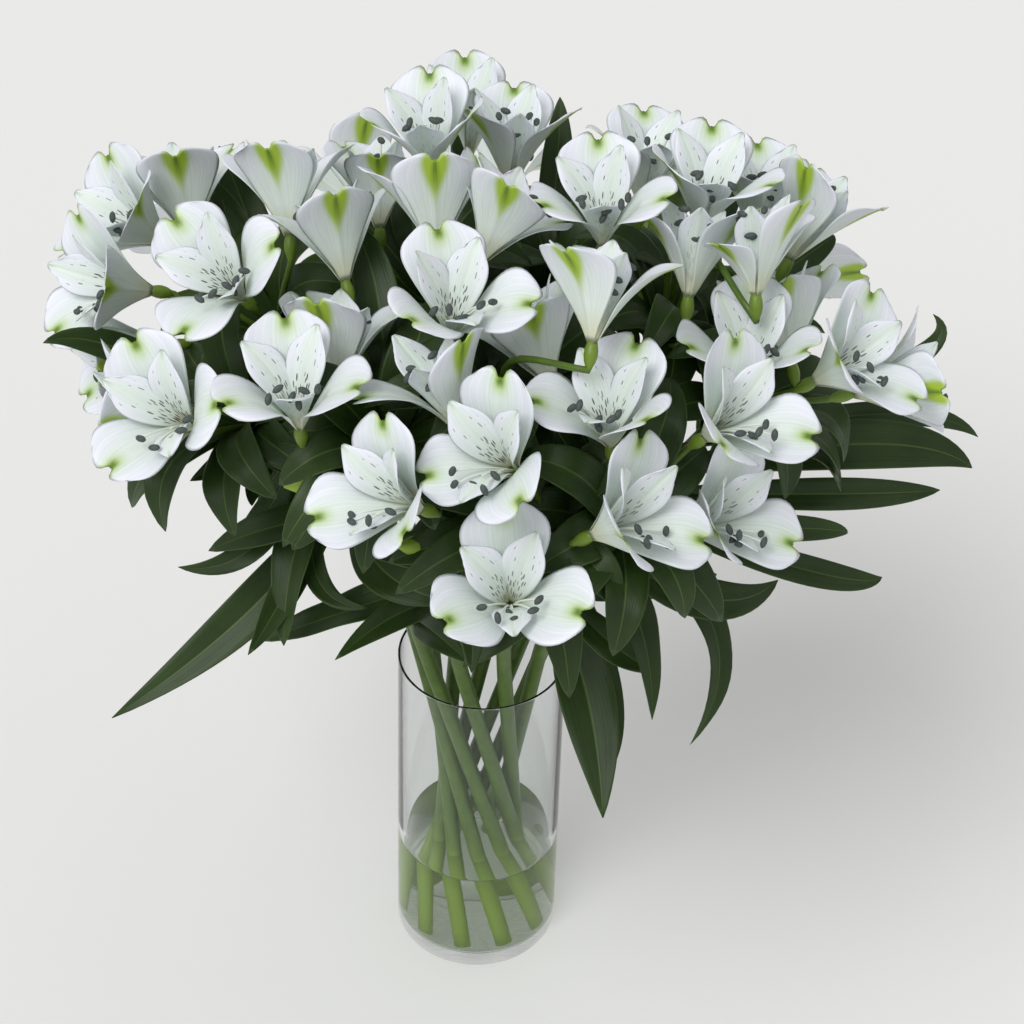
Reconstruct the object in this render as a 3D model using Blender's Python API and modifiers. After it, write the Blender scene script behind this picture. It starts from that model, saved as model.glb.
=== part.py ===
"""White Peruvian lilies: ten cut stems in a clear glass cylinder of water.

Each stem is one green piece with its leaves, flower stalks and buds, and each bloom is one
white piece of six tepals. Blooms, buds and the larger leaves stand where the reference view
shows them. Metres, +Z up, origin in the middle of the flat foot that the vase stands on.
"""

from itertools import product
from math import cos, pi, radians, sin, tau

import bmesh
import bpy
import numpy as np
from mathutils import Vector
from mathutils.bvhtree import BVHTree

# Vase and water
VASE_RADIUS = 0.0375
VASE_HEIGHT = 0.168
VASE_WALL = 0.0028
VASE_FLOOR = 0.009
VASE_FOOT_ROUND = 0.006
VASE_STEPS = 32
WATER_TOP = 0.058
GAP = 0.0003
HOLE_GAP = 0.0007
HOLE_PAST = 0.05
LIP_STEPS = 3

# Stems stand in a ring, all turned the same way, so that they pass without touching
STEM_FOOT_RADIUS = 0.0036
STEM_HUB_RADIUS = 0.0027
RING_RADIUS = 0.0285
RING_TURN = radians(112)
FOOT_LIFT = 0.0016
RIM_CLEAR = 0.006
STEM_HANDLE = 0.45
STEM_ROWS = 5
CANE_ROUND = 2
NECK = np.array([0.0, 0.0, 0.200])
HUB_BACK = 0.048
STALK_RADIUS = 0.0014
OVARY_RADIUS = 0.0030
OVARY_LENGTH = 0.009
STALK_END = 0.022
STALK_ROUND = 1

# Ways in which a flower stalk may run, the plainest first: bows aside and upwards, reach of
# its ends, how far below the hub it leaves the stem, and whether it ends in a straight run
STALK_BOWS = (-0.5, -0.3, -0.2, -0.1, 0, 0.1, 0.2, 0.3, 0.5)
STALK_REACHES = (0.4, 0.15)
STALK_LOWER = (0, 0.15, 0.3)
LOWER_COST = 2
STRAIGHT_COST = 3


def stalk_cost(run):
    """How far a stalk's run is from the plainest one."""
    aside, above, reach, lower, straight = run
    return abs(aside) + abs(above) - reach + LOWER_COST * lower + STRAIGHT_COST * straight


STALK_TRIES = sorted(
    product(STALK_BOWS, STALK_BOWS, STALK_REACHES, STALK_LOWER, (False, True)),
    key=lambda run: (stalk_cost(run), run),
)

# Closed buds: share of the length, and share of the radius there
BUD_RADIUS = 0.0050
BUD_LENGTH = 0.020
BUD_RISE = 0.15
BUD_ROWS = np.array([(0.0, 0.3), (0.22, 0.85), (0.5, 1.0), (0.8, 0.66), (1.0, 0.16)])

# A bloom has three broad outer tepals, two streaked upper inner ones and a lower inner one
OUTER_LENGTH = 0.045
OUTER_HALF = 0.0162
UPPER_LENGTH = 0.0415
UPPER_HALF = 0.0087
LOWER_LENGTH = 0.038
LOWER_HALF = 0.0078
ROOT_OUT = 0.0016
ROOT_UP = 0.0012
CORE_RADIUS = 0.0026
CORE_EDGE = 0.0016
CORE_HEIGHT = 0.0032
BLADE_HALF = 0.0005
NOTCH = 0.08
OUTER_START = radians(20)
INNER_START = radians(5)
BEND_POWER = 1.15
CUP_NEAR = 38.0
CUP_FAR = 5.0

# Steps in which a bloom sinks along the line of sight, and a tepal opens or turns aside,
# until nothing touches it
SINK_STEP = 0.007
SINK_STEPS = (0, 1, -1, 2, -2, 3, -3, 4, -4, 5, -5, 6, 7)
SINK_COST = 2.0
OPEN_STEP = radians(8)
TURN_STEP = radians(11)
TURN_COST = 1.4
SHRINK_STEP = 0.14
SHRINK_COST = 3


def try_cost(steps):
    """How much a tepal has given way: steps smaller, steps less open and steps aside."""
    shrink, less_open, aside = steps
    return SHRINK_COST * shrink + abs(less_open) + TURN_COST * abs(aside)


TEPAL_TRIES = sorted(
    product((0, 1, 2, 4), range(-4, 7), range(-2, 3)), key=lambda steps: (try_cost(steps), steps)
)

# Seeded spread of the blooms' size and of how their tepals open and turn
SIZE_DRAW = (0.96, 1.03)
TEPAL_DRAW = radians(4)

# Room kept round a piece, room kept round a stalk, and how closely a stalk is tested
CLEAR = 0.0007
TIGHT = 0.0004
ROD_SAMPLES = 30
WELD = 1e-6

# Leaves: share of the length, and share of the width there
SEEN_ROWS = np.array([(0.0, 0.12), (0.25, 0.78), (0.52, 1.0), (0.78, 0.66), (1.0, 0.0)])
GROWN_ROWS = np.array([(0.0, 0.12), (0.32, 0.90), (0.68, 0.90), (1.0, 0.0)])
LEAF_HALF = 0.0005
LEAF_FOLD = 0.22
GOLDEN_TURN = radians(137.5)

# The reference view: how places in the picture turn into places in the bouquet
VIEW_DOWN = radians(39)
VIEW_ROLL = radians(1.8)
VIEW_FOCAL_PIXELS = 2912
VIEW_MIDDLE_PIXEL = 512
RIM_MIDDLE_PIXEL = (482, 652)
RIM_DISTANCE = 1.300
DOME_CENTRE = np.array([0.004, 0.0, 0.318])
DOME_RADII = np.array([0.165, 0.145, 0.096])

SEED = 20


def unit(vector):
    return np.asarray(vector, float) / np.linalg.norm(vector)


# The view's own axes: towards the eye, to the picture's right and up the picture
TO_EYE = np.array([0.0, -cos(VIEW_DOWN), sin(VIEW_DOWN)])
LEVEL_RIGHT = np.array([1.0, 0.0, 0.0])
LEVEL_UP = np.array([0.0, sin(VIEW_DOWN), cos(VIEW_DOWN)])
RIGHT = cos(VIEW_ROLL) * LEVEL_RIGHT + sin(VIEW_ROLL) * LEVEL_UP
UP = cos(VIEW_ROLL) * LEVEL_UP - sin(VIEW_ROLL) * LEVEL_RIGHT


def sight(pixel):
    """Line of sight through a pixel, as a step that goes one metre deep."""
    across = (pixel[0] - VIEW_MIDDLE_PIXEL) / VIEW_FOCAL_PIXELS
    upward = (VIEW_MIDDLE_PIXEL - pixel[1]) / VIEW_FOCAL_PIXELS
    return across * RIGHT + upward * UP - TO_EYE


EYE = np.array([0.0, 0.0, VASE_HEIGHT]) - RIM_DISTANCE * sight(RIM_MIDDLE_PIXEL)


def on_dome(pixel, far=False):
    """Where the line of sight meets the dome of blooms, or comes nearest to it."""
    ray = sight(pixel) / DOME_RADII
    start = (EYE - DOME_CENTRE) / DOME_RADII
    a, b, c = ray @ ray, ray @ start, start @ start - 1
    root = max(b * b - a * c, 0) ** 0.5
    depth = (root - b) / a if far else (-root - b) / a
    return EYE + depth * sight(pixel)


def beside(place, pixel, nearer):
    """The point seen at a pixel that lies this much nearer the eye than a place does."""
    depth = (EYE - place) @ TO_EYE
    return EYE + (depth - nearer) * sight(pixel)


def facing(lean, tilt):
    """Axis turned by tilt from the eye, towards the picture's direction lean."""
    lean, tilt = radians(lean), radians(tilt)
    return cos(tilt) * TO_EYE + sin(tilt) * (cos(lean) * RIGHT + sin(lean) * UP)


def bezier(corners, shares):
    """Points of a Bezier curve at these shares of its run."""
    shares = np.asarray(shares, float)[:, None]
    corners = [np.asarray(corner, float) for corner in corners]
    while len(corners) > 1:
        corners = [(1 - shares) * a + shares * b for a, b in zip(corners, corners[1:])]
    return corners[0]


# Each bloom: its stem, the place of its throat in the picture, the lean and tilt of its axis,
# the direction of its top tepal in the picture, and how far it opens, all in degrees
BLOOMS = {
    "bloom_01": dict(stem="d", pixel=(434, 179), lean=98, tilt=50, spin=94, spread=50),
    "bloom_02": dict(stem="d", pixel=(468, 160), lean=88, tilt=62, spin=90, spread=48),
    "bloom_03": dict(stem="f", pixel=(510, 187), lean=85, tilt=66, spin=88, spread=52),
    "bloom_04": dict(stem="d", pixel=(437, 257), lean=95, tilt=85, spin=92, spread=52),
    "bloom_05": dict(stem="e", pixel=(480, 263), lean=62, tilt=80, spin=75, spread=60),
    "bloom_06": dict(stem="f", pixel=(602, 246), lean=92, tilt=45, spin=94, spread=64),
    "bloom_07": dict(stem="f", pixel=(642, 208), lean=82, tilt=66, spin=85, spread=58),
    "bloom_08": dict(stem="g", pixel=(700, 233), lean=80, tilt=54, spin=82, spread=58),
    "bloom_09": dict(stem="g", pixel=(688, 300), lean=84, tilt=80, spin=84, spread=50),
    "bloom_10": dict(stem="g", pixel=(756, 298), lean=92, tilt=78, spin=90, spread=46),
    "bloom_11": dict(stem="g", pixel=(788, 262), lean=60, tilt=80, spin=64, spread=42),
    "bloom_12": dict(stem="g", pixel=(754, 244), lean=80, tilt=66, spin=84, spread=58),
    "bloom_13": dict(stem="h", pixel=(744, 388), lean=88, tilt=45, spin=86, spread=64),
    "bloom_14": dict(stem="h", pixel=(812, 382), lean=28, tilt=52, spin=62, spread=64),
    "bloom_15": dict(stem="h", pixel=(850, 394), lean=14, tilt=86, spin=40, spread=54),
    "bloom_16": dict(stem="i", pixel=(703, 438), lean=34, tilt=42, spin=97, spread=68),
    "bloom_17": dict(stem="j", pixel=(611, 447), lean=98, tilt=42, spin=75, spread=68),
    "bloom_18": dict(stem="e", pixel=(592, 346), lean=82, tilt=84, spin=85, spread=58),
    "bloom_19": dict(stem="e", pixel=(450, 339), lean=80, tilt=38, spin=100, spread=68),
    "bloom_20": dict(stem="e", pixel=(458, 430), lean=112, tilt=68, spin=105, spread=54),
    "bloom_21": dict(stem="j", pixel=(517, 472), lean=152, tilt=30, spin=75, spread=68),
    "bloom_22": dict(stem="j", pixel=(511, 609), lean=92, tilt=20, spin=96, spread=68),
    "bloom_23": dict(stem="i", pixel=(590, 536), lean=24, tilt=52, spin=92, spread=62),
    "bloom_24": dict(stem="i", pixel=(686, 531), lean=22, tilt=48, spin=86, spread=62),
    "bloom_25": dict(stem="c", pixel=(423, 509), lean=160, tilt=42, spin=82, spread=64),
    "bloom_26": dict(stem="c", pixel=(300, 430), lean=95, tilt=45, spin=98, spread=66),
    "bloom_27": dict(stem="c", pixel=(338, 395), lean=88, tilt=82, spin=95, spread=54),
    "bloom_28": dict(stem="a", pixel=(195, 428), lean=150, tilt=27, spin=118, spread=68),
    "bloom_29": dict(stem="b", pixel=(245, 299), lean=136, tilt=30, spin=130, spread=68),
    "bloom_30": dict(stem="a", pixel=(172, 346), lean=190, tilt=72, spin=120, spread=50),
    "bloom_31": dict(stem="b", pixel=(167, 244), lean=148, tilt=54, spin=118, spread=54),
    "bloom_32": dict(stem="b", pixel=(192, 241), lean=98, tilt=84, spin=110, spread=56),
    "bloom_33": dict(stem="b", pixel=(290, 239), lean=92, tilt=84, spin=98, spread=56),
    "bloom_34": dict(stem="c", pixel=(346, 284), lean=104, tilt=86, spin=100, spread=54),
    "bloom_35": dict(stem="d", pixel=(380, 231), lean=90, tilt=84, spin=95, spread=46),
    "bloom_36": dict(stem="a", pixel=(154, 291), lean=174, tilt=56, spin=118, spread=60),
    "bloom_37": dict(stem="a", pixel=(198, 410), lean=178, tilt=84, spin=120, spread=48),
    "bloom_38": dict(stem="e", pixel=(552, 387), lean=112, tilt=80, spin=98, spread=58),
    "bloom_39": dict(stem="h", pixel=(792, 366), lean=100, tilt=84, spin=90, spread=48),
}

# Blooms on the far side, each behind a place in the picture, face out from the dome
FAR_BLOOMS = {
    "bloom_40": dict(stem="b", pixel=(222, 262), spread=62),
    "bloom_41": dict(stem="d", pixel=(362, 212), spread=64),
    "bloom_42": dict(stem="f", pixel=(505, 200), spread=66),
    "bloom_43": dict(stem="g", pixel=(645, 226), spread=62),
    "bloom_44": dict(stem="h", pixel=(768, 296), spread=60),
}
FAR_RISE = 0.55

# Buds: stem, place of the tip in the picture, and how much nearer the eye than the hub
BUDS = (
    dict(stem="c", pixel=(284, 486), nearer=0.010),
    dict(stem="j", pixel=(398, 546), nearer=0.020),
    dict(stem="j", pixel=(560, 520), nearer=0.020),
    dict(stem="f", pixel=(656, 288), nearer=0.010),
    dict(stem="d", pixel=(424, 152), nearer=0.010),
)

# Leaves seen in the picture: stem, share of the way from rim to hub, middle and tip in the
# picture, widest width, how much nearer the eye the tip is, and roll towards the tip
LEAVES = (
    dict(stem="a", share=0.62, via=(256, 604), tip=(112, 718), width=0.020),
    dict(stem="a", share=0.66, via=(292, 578), tip=(248, 655), width=0.014, nearer=0.03),
    dict(stem="a", share=0.78, via=(252, 548), tip=(178, 567), width=0.011),
    dict(stem="a", share=0.84, via=(262, 520), tip=(222, 556), width=0.012, nearer=-0.02),
    dict(stem="a", share=0.70, via=(316, 574), tip=(368, 608), width=0.010, nearer=0.02),
    dict(stem="a", share=0.50, via=(385, 572), tip=(452, 602), width=0.019, nearer=0.04),
    dict(stem="e", share=0.35, via=(398, 614), tip=(335, 660), width=0.013, nearer=0.05),
    dict(stem="c", share=0.20, via=(434, 632), tip=(470, 664), width=0.014, nearer=0.03),
    dict(stem="i", share=0.35, via=(588, 700), tip=(603, 818), width=0.024, nearer=0.02),
    dict(stem="h", share=0.30, via=(612, 690), tip=(612, 768), width=0.009),
    dict(stem="i", share=0.45, via=(612, 644), tip=(660, 672), width=0.014, nearer=0.03),
    dict(stem="i", share=0.80, via=(638, 620), tip=(652, 720), width=0.015, roll=40),
    dict(stem="i", share=0.85, via=(704, 598), tip=(778, 580), width=0.017),
    dict(stem="h", share=0.55, via=(714, 630), tip=(690, 745), width=0.014, roll=50),
    dict(stem="h", share=0.80, via=(868, 444), tip=(972, 468), width=0.021),
    dict(stem="h", share=0.90, via=(880, 414), tip=(978, 437), width=0.011, nearer=-0.03),
    dict(stem="h", share=0.70, via=(836, 494), tip=(940, 490), width=0.014),
    dict(stem="i", share=0.95, via=(780, 528), tip=(848, 533), width=0.011, nearer=-0.02),
    dict(stem="h", share=0.62, via=(806, 570), tip=(882, 577), width=0.013),
    dict(stem="b", share=0.97, via=(250, 222), tip=(219, 146), width=0.017),
    dict(stem="b", share=0.93, via=(226, 222), tip=(192, 184), width=0.018),
    dict(stem="a", share=0.97, via=(128, 352), tip=(43, 343), width=0.013),
    dict(stem="d", share=0.97, via=(461, 150), tip=(473, 50), width=0.010),
    dict(stem="d", share=0.99, via=(463, 190), tip=(434, 102), width=0.006, nearer=0.02),
    dict(stem="f", share=0.97, via=(556, 180), tip=(560, 97), width=0.014),
    dict(stem="g", share=0.97, via=(726, 210), tip=(732, 140), width=0.009),
    dict(stem="g", share=0.95, via=(770, 246), tip=(806, 200), width=0.013),
    dict(stem="g", share=0.93, via=(786, 270), tip=(835, 236), width=0.014),
    dict(stem="h", share=0.97, via=(902, 366), tip=(933, 314), width=0.009),
    dict(stem="c", share=0.97, via=(378, 300), tip=(347, 222), width=0.018),
    dict(stem="c", share=0.93, via=(398, 372), tip=(394, 304), width=0.020),
    dict(stem="d", share=0.95, via=(398, 246), tip=(402, 196), width=0.010),
    dict(stem="d", share=0.93, via=(446, 240), tip=(452, 206), width=0.010),
    dict(stem="a", share=0.94, via=(232, 458), tip=(190, 481), width=0.011, nearer=0.02),
    dict(stem="a", share=0.90, via=(258, 478), tip=(252, 506), width=0.009, nearer=0.02),
)
LEAF_STEP = 0.01
BELLY_COST = 1.5
LEAF_TRIES = sorted(
    product(range(-4, 5), range(-2, 3)),
    key=lambda steps: (abs(steps[0]) + BELLY_COST * abs(steps[1]), steps),
)

# Leaves that no view gives a place: share of the way to the hub, length, width, and rise
# of the tip along the stem as a share of the length
GROWN_LEAVES = (
    (0.97, 0.066, 0.017, 0.40),
    (0.95, 0.064, 0.016, 0.30),
    (0.92, 0.070, 0.018, 0.20),
    (0.70, 0.082, 0.018, -0.15),
    (0.45, 0.086, 0.018, -0.35),
)
GROWN_TRIES = (0, 15, -15, 30, -30, 45, -45, 65, -65, 90, -90)
GROWN_ARCH = 0.18
GROWN_OUT = (0.45, 0.88)
GROWN_DRAW = (0.88, 1.1)


def material(name, colour, roughness, transmission=0.0):
    """Plain Principled finish, its colour given as an sRGB hex value."""
    channels = [int(colour[at : at + 2], 16) / 255 for at in (0, 2, 4)]
    linear = [c / 12.92 if c <= 0.04045 else ((c + 0.055) / 1.055) ** 2.4 for c in channels]
    made = bpy.data.materials.new(name)
    made.use_nodes = True
    shader = made.node_tree.nodes["Principled BSDF"]
    shader.inputs["Base Color"].default_value = (*linear, 1)
    shader.inputs["Roughness"].default_value = roughness
    shader.inputs["Transmission Weight"].default_value = transmission
    return made


class Space:
    """What already stands in the bouquet, so that a new piece can be kept clear of it."""

    def __init__(self):
        self.placed = []

    def add(self, owner, vertices, faces):
        vertices = np.asarray(vertices)
        tree = BVHTree.FromPolygons([Vector(vertex) for vertex in vertices], faces)
        self.placed.append((owner, tree, vertices.min(0), vertices.max(0)))

    def near(self, low, high, owners):
        for owner, tree, other_low, other_high in self.placed:
            if owner not in owners and (low < other_high).all() and (high > other_low).all():
                yield tree

    def blade_clear(self, vertices, faces, owners=()):
        own = BVHTree.FromPolygons([Vector(vertex) for vertex in vertices], faces)
        trees = self.near(vertices.min(0), vertices.max(0), owners)
        return not any(own.overlap(tree) for tree in trees)

    def rod_clear(self, points, radii, owners=(), room=CLEAR):
        """Whether a rod through the points keeps clear, tested every few millimetres."""
        share = np.linspace(0, len(points) - 1, ROD_SAMPLES * (len(points) - 1) + 1)
        at = np.arange(len(points))
        places = np.stack([np.interp(share, at, points[:, axis]) for axis in range(3)], axis=1)
        reach = np.interp(share, at, radii) + room
        low, high = places.min(0) - reach.max(), places.max(0) + reach.max()
        return not any(
            tree.find_nearest(Vector(place), limit)[0]
            for tree in self.near(low, high, owners)
            for place, limit in zip(places, reach)
        )


def mesh_object(name, vertices, faces):
    mesh = bpy.data.meshes.new(name)
    mesh.from_pydata([tuple(vertex) for vertex in vertices], [], faces)
    return bpy.data.objects.new(name, mesh)


def shape_of(thing):
    """Vertices and faces of a mesh object."""
    corners = [vertex.co[:] for vertex in thing.data.vertices]
    return np.array(corners), [polygon.vertices[:] for polygon in thing.data.polygons]


def solid_copy(thing):
    """Mesh of an object as it is evaluated, with loose caps welded."""
    bpy.context.view_layer.update()
    graph = bpy.context.evaluated_depsgraph_get()
    mesh = bpy.data.meshes.new_from_object(thing.evaluated_get(graph))
    shape = bmesh.new()
    shape.from_mesh(mesh)
    bmesh.ops.remove_doubles(shape, verts=shape.verts, dist=WELD)
    shape.to_mesh(mesh)
    shape.free()
    return mesh


def keep_largest(mesh):
    """Keeps the largest shell, which fills sealed hollows and drops loose scraps."""
    shape = bmesh.new()
    shape.from_mesh(mesh)
    left, shells = set(shape.verts), []
    while left:
        shell, edge = set(), {left.pop()}
        while edge:
            shell |= edge
            edge = {e.other_vert(v) for v in edge for e in v.link_edges} - shell
        left -= shell
        shells.append(shell)
    scraps = set(shape.verts) - max(shells, key=len)
    bmesh.ops.delete(shape, geom=list(scraps), context="VERTS")
    shape.to_mesh(mesh)
    shape.free()


def rod(name, points, radii, resolution):
    """Round rod through the points, made as a bevelled curve and turned into a mesh."""
    curve = bpy.data.curves.new(name, "CURVE")
    curve.dimensions = "3D"
    curve.bevel_depth = 1.0
    curve.bevel_resolution = resolution
    curve.use_fill_caps = True
    spline = curve.splines.new("POLY")
    spline.points.add(len(points) - 1)
    for point, place, radius in zip(spline.points, points, radii):
        point.co = (*place, 1)
        point.radius = radius
    wire = bpy.data.objects.new(name + "_curve", curve)
    bpy.context.scene.collection.objects.link(wire)
    mesh = solid_copy(wire)
    bpy.data.objects.remove(wire)
    bpy.data.curves.remove(curve)
    return bpy.data.objects.new(name, mesh)


def fuse(name, pieces, finish, collection):
    """One closed body out of overlapping pieces, by one union on a collection."""
    first, *rest = pieces
    group = bpy.data.collections.new(name + "_pieces")
    bpy.context.scene.collection.children.link(group)
    bpy.context.scene.collection.objects.link(first)
    for piece in rest:
        group.objects.link(piece)
    union = first.modifiers.new("union", "BOOLEAN")
    union.operation = "UNION"
    union.operand_type = "COLLECTION"
    union.collection = group
    union.solver = "MANIFOLD"
    body = bpy.data.objects.new(name, solid_copy(first))
    keep_largest(body.data)
    for piece in pieces:
        old = piece.data
        bpy.data.objects.remove(piece)
        bpy.data.meshes.remove(old)
    bpy.data.collections.remove(group)
    body.data.materials.clear()
    body.data.materials.append(finish)
    collection.objects.link(body)


def strip_faces(left, front, right, back):
    """Faces along four rows of points, split alike in front and behind.

    A curved blade split so never cuts itself. Points that meet in a tip make no face.
    """
    faces = []
    for a, b in zip(range(len(left)), range(1, len(left))):
        faces += [(left[a], front[a], front[b]), (left[a], front[b], left[b])]
        faces += [(front[a], right[a], front[b]), (right[a], right[b], front[b])]
        faces += [(left[a], back[b], back[a]), (left[a], left[b], back[b])]
        faces += [(back[a], back[b], right[a]), (right[a], back[b], right[b])]
    return [face for face in faces if len(set(face)) == 3]


def end_faces(left, front, right, back):
    return [(left, front, back), (front, right, back)]


def closed_body(points, faces):
    """Points that the faces use, and the faces turned to look out."""
    used = np.unique(faces)
    points, faces = np.asarray(points)[used], np.searchsorted(used, faces)
    if np.linalg.det(points[faces]).sum() < 0:
        faces = faces[:, ::-1]
    return points, [tuple(face) for face in faces.tolist()]


def blade(rows, pointed=False):
    """Closed blade from four rows of points; a pointed one ends in its last front point."""
    index = np.arange(rows[..., 0].size).reshape(rows.shape[:2])
    if pointed:
        index[:, -1] = index[1, -1]
    index = index.tolist()
    faces = strip_faces(*index)
    faces += [face[::-1] for face in end_faces(*(row[0] for row in index))]
    if not pointed:
        faces += end_faces(*(row[-1] for row in index))
    return closed_body(rows.reshape(-1, 3), faces)


# Rows of each kind of tepal: share of its length, and share of its half width there
OUTER_ROWS = np.array([(0.0, 0.10), (0.42, 0.58), (0.80, 1.0), (1.0, 0.64)])
INNER_ROWS = np.array([(0.0, 0.14), (0.64, 1.0), (1.0, 0.30)])
OUTER = dict(
    length=OUTER_LENGTH, half=OUTER_HALF, rows=OUTER_ROWS, notch=NOTCH, start=OUTER_START, closer=0
)
UPPER = dict(
    length=UPPER_LENGTH, half=UPPER_HALF, rows=INNER_ROWS, notch=0, start=INNER_START, closer=15
)
LOWER = dict(
    length=LOWER_LENGTH, half=LOWER_HALF, rows=INNER_ROWS, notch=0, start=INNER_START, closer=10
)

# Each tepal's kind and bearing, and the bearings between which its root lies, in degrees
TEPALS = (
    (OUTER, 0, -19, 19),
    (UPPER, 38, 19, 79),
    (OUTER, 120, 79, 150),
    (LOWER, 180, 150, 210),
    (OUTER, -120, 210, 281),
    (UPPER, -38, 281, 341),
)
RIB_STEPS = 32


def midrib(shares, length, start, end):
    """Distance out, distance up and slope along a tepal that bends away from the axis."""
    steps = np.linspace(0, 1, RIB_STEPS + 1)
    slope = start + (end - start) * steps**BEND_POWER
    middles = (slope[1:] + slope[:-1]) / 2
    out = np.concatenate([[0], np.cumsum(np.sin(middles))]) * length / RIB_STEPS + ROOT_OUT
    up = np.concatenate([[0], np.cumsum(np.cos(middles))]) * length / RIB_STEPS + ROOT_UP
    return [np.interp(shares, steps, values)[:, None] for values in (out, up, slope)]


def tepal(kind, throat, frame, scale, around, end, margin=0.0):
    """Four rows of points of a tepal. A margin makes it fatter all round, to test its room."""
    side, top, axis = frame
    out_way = cos(around) * top + sin(around) * side
    across = cos(around) * side - sin(around) * top
    shares, widths = kind["rows"].T
    length = kind["length"] * scale + margin
    width = (widths * kind["half"] * scale + margin)[:, None]
    rib_shares = shares.copy()
    rib_shares[-1] -= kind["notch"]
    places = []
    for run in (rib_shares, shares):
        out, up, slope = midrib(run, length, kind["start"], end)
        inward = np.sin(slope) * axis - np.cos(slope) * out_way
        places.append((throat + out * out_way + up * axis, inward))
    (middle, normal), (edge, inward) = places
    cup = CUP_NEAR + (CUP_FAR - CUP_NEAR) * shares[:, None] ** 0.5
    edge = edge + cup * width**2 * inward
    thick = (BLADE_HALF + margin) * normal
    return np.array([edge - width * across, middle + thick, edge + width * across, middle - thick])


def root_ring(throat, frame, bearings, margin=0.0):
    """Left, front, right and back point of the root of a tepal, on the edge of the core."""
    side, top, axis = frame
    middle = sum(bearings) / 2
    ring = []
    heights = (CORE_EDGE, CORE_HEIGHT + margin, CORE_EDGE, -margin)
    for bearing, height in zip((bearings[0], middle, bearings[1], middle), heights):
        out_way = cos(radians(bearing)) * top + sin(radians(bearing)) * side
        ring.append(throat + (CORE_RADIUS + margin) * out_way + height * axis)
    return np.array(ring)


def bloom_body(throat, frame, tepals):
    """One closed body: six blades that grow out of the rim of a flat core."""
    points = [throat, throat + CORE_HEIGHT * frame[2], *(rows[0, 0] for rows in tepals)]
    bottom, top, corner, faces = 0, 1, 2, []
    for number, rows in enumerate(tepals):
        index = len(points) + np.arange(rows[..., 0].size).reshape(rows.shape[:2])
        index[0, 0] = corner + number
        index[2, 0] = corner + (number + 1) % len(tepals)
        points.extend(rows.reshape(-1, 3))
        index = index.tolist()
        left, front, right, back = (row[0] for row in index)
        faces += strip_faces(*index) + end_faces(*(row[-1] for row in index))
        faces += [(top, front, left), (top, right, front)]
        faces += [(bottom, left, back), (bottom, back, right)]
    return closed_body(points, faces)


def crosses(body, other):
    """Whether two bodies cut each other anywhere but where they share a corner."""
    trees = [BVHTree.FromPolygons([Vector(p) for p in points], faces) for points, faces in (body, other)]
    for one, two in trees[0].overlap(trees[1]):
        corners = {tuple(np.round(body[0][c], 6)) for c in body[1][one]}
        if not corners & {tuple(np.round(other[0][c], 6)) for c in other[1][two]}:
            return True
    return False


def bloom_frame(axis, spin):
    """Side, top and axis of a bloom whose top tepal points to the picture's direction spin."""
    aim = cos(spin) * RIGHT + sin(spin) * UP
    top = unit(aim - (aim @ axis) * axis)
    return np.array([np.cross(top, axis), top, axis])


def ovary_rod(throat, axis, start=GAP):
    """Points and radii of the ovary just below a throat, with the end of its stalk."""
    shares = np.array([start, OVARY_LENGTH, STALK_END])[:, None]
    return throat - shares * axis, [OVARY_RADIUS, STALK_RADIUS, STALK_RADIUS]


def aimed_throat(row):
    """Where a bloom's throat belongs: on the dome, nearer side or farther side."""
    return on_dome(row["pixel"], "lean" not in row)


def stem_routes(rows):
    """Foot, rim and hub of every stem, in ring order, as a straight run and a bent one."""
    letters = sorted({row["stem"] for row in rows.values()})
    hubs = {}
    for letter in letters:
        middle = np.mean([aimed_throat(r) for r in rows.values() if r["stem"] == letter], axis=0)
        hubs[letter] = middle + HUB_BACK * unit(NECK - middle)
    bearing = {letter: np.arctan2(hub[1], hub[0]) for letter, hub in hubs.items()}
    ring = sorted(letters, key=lambda letter: bearing[letter])
    places = tau * np.arange(len(ring)) / len(ring)
    offset = np.mean([bearing[letter] - place for letter, place in zip(ring, places)])
    routes = {}
    for letter, place in zip(ring, places):
        turn = place + offset
        rim = np.array([RING_RADIUS * cos(turn), RING_RADIUS * sin(turn), VASE_HEIGHT + RIM_CLEAR])
        turn += RING_TURN
        foot = np.array([RING_RADIUS * cos(turn), RING_RADIUS * sin(turn), VASE_FLOOR + FOOT_LIFT])
        handle = rim + STEM_HANDLE * np.linalg.norm(hubs[letter] - rim) * unit(rim - foot)
        routes[letter] = dict(foot=foot, upper=(rim, handle, hubs[letter]))
    return routes


def find_stalk(throat, axis, letter, upper, space):
    """Points and radii of a flower's stalk from its stem's hub to its throat, if one is clear."""
    rim, handle, hub = upper
    places, sizes = ovary_rod(throat, axis)
    for aside, above, reach, lower, straight in STALK_TRIES:
        ends = slice(None, None, -1) if straight else slice(1, None, -1)
        top, thick = places[ends], sizes[ends]
        start = bezier(upper, [1 - lower])[0]
        span = np.linalg.norm(top[0] - start)
        sideways = unit(np.cross(axis, top[0] - start))
        upwards = np.cross(unit(top[0] - start), sideways)
        first = start + reach * span * unit(hub - handle)
        second = top[0] - reach * span * axis
        middle = bezier((start, first, second, top[0]), [0.5])[0]
        middle += span * (aside * sideways + above * upwards)
        free = np.vstack([start, middle, top[0]])
        if space.rod_clear(free, [STALK_RADIUS] * len(free), (letter,), TIGHT):
            return np.vstack([free, top[1:]]), [STALK_RADIUS] * 2 + [*thick]
    return None


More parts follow.
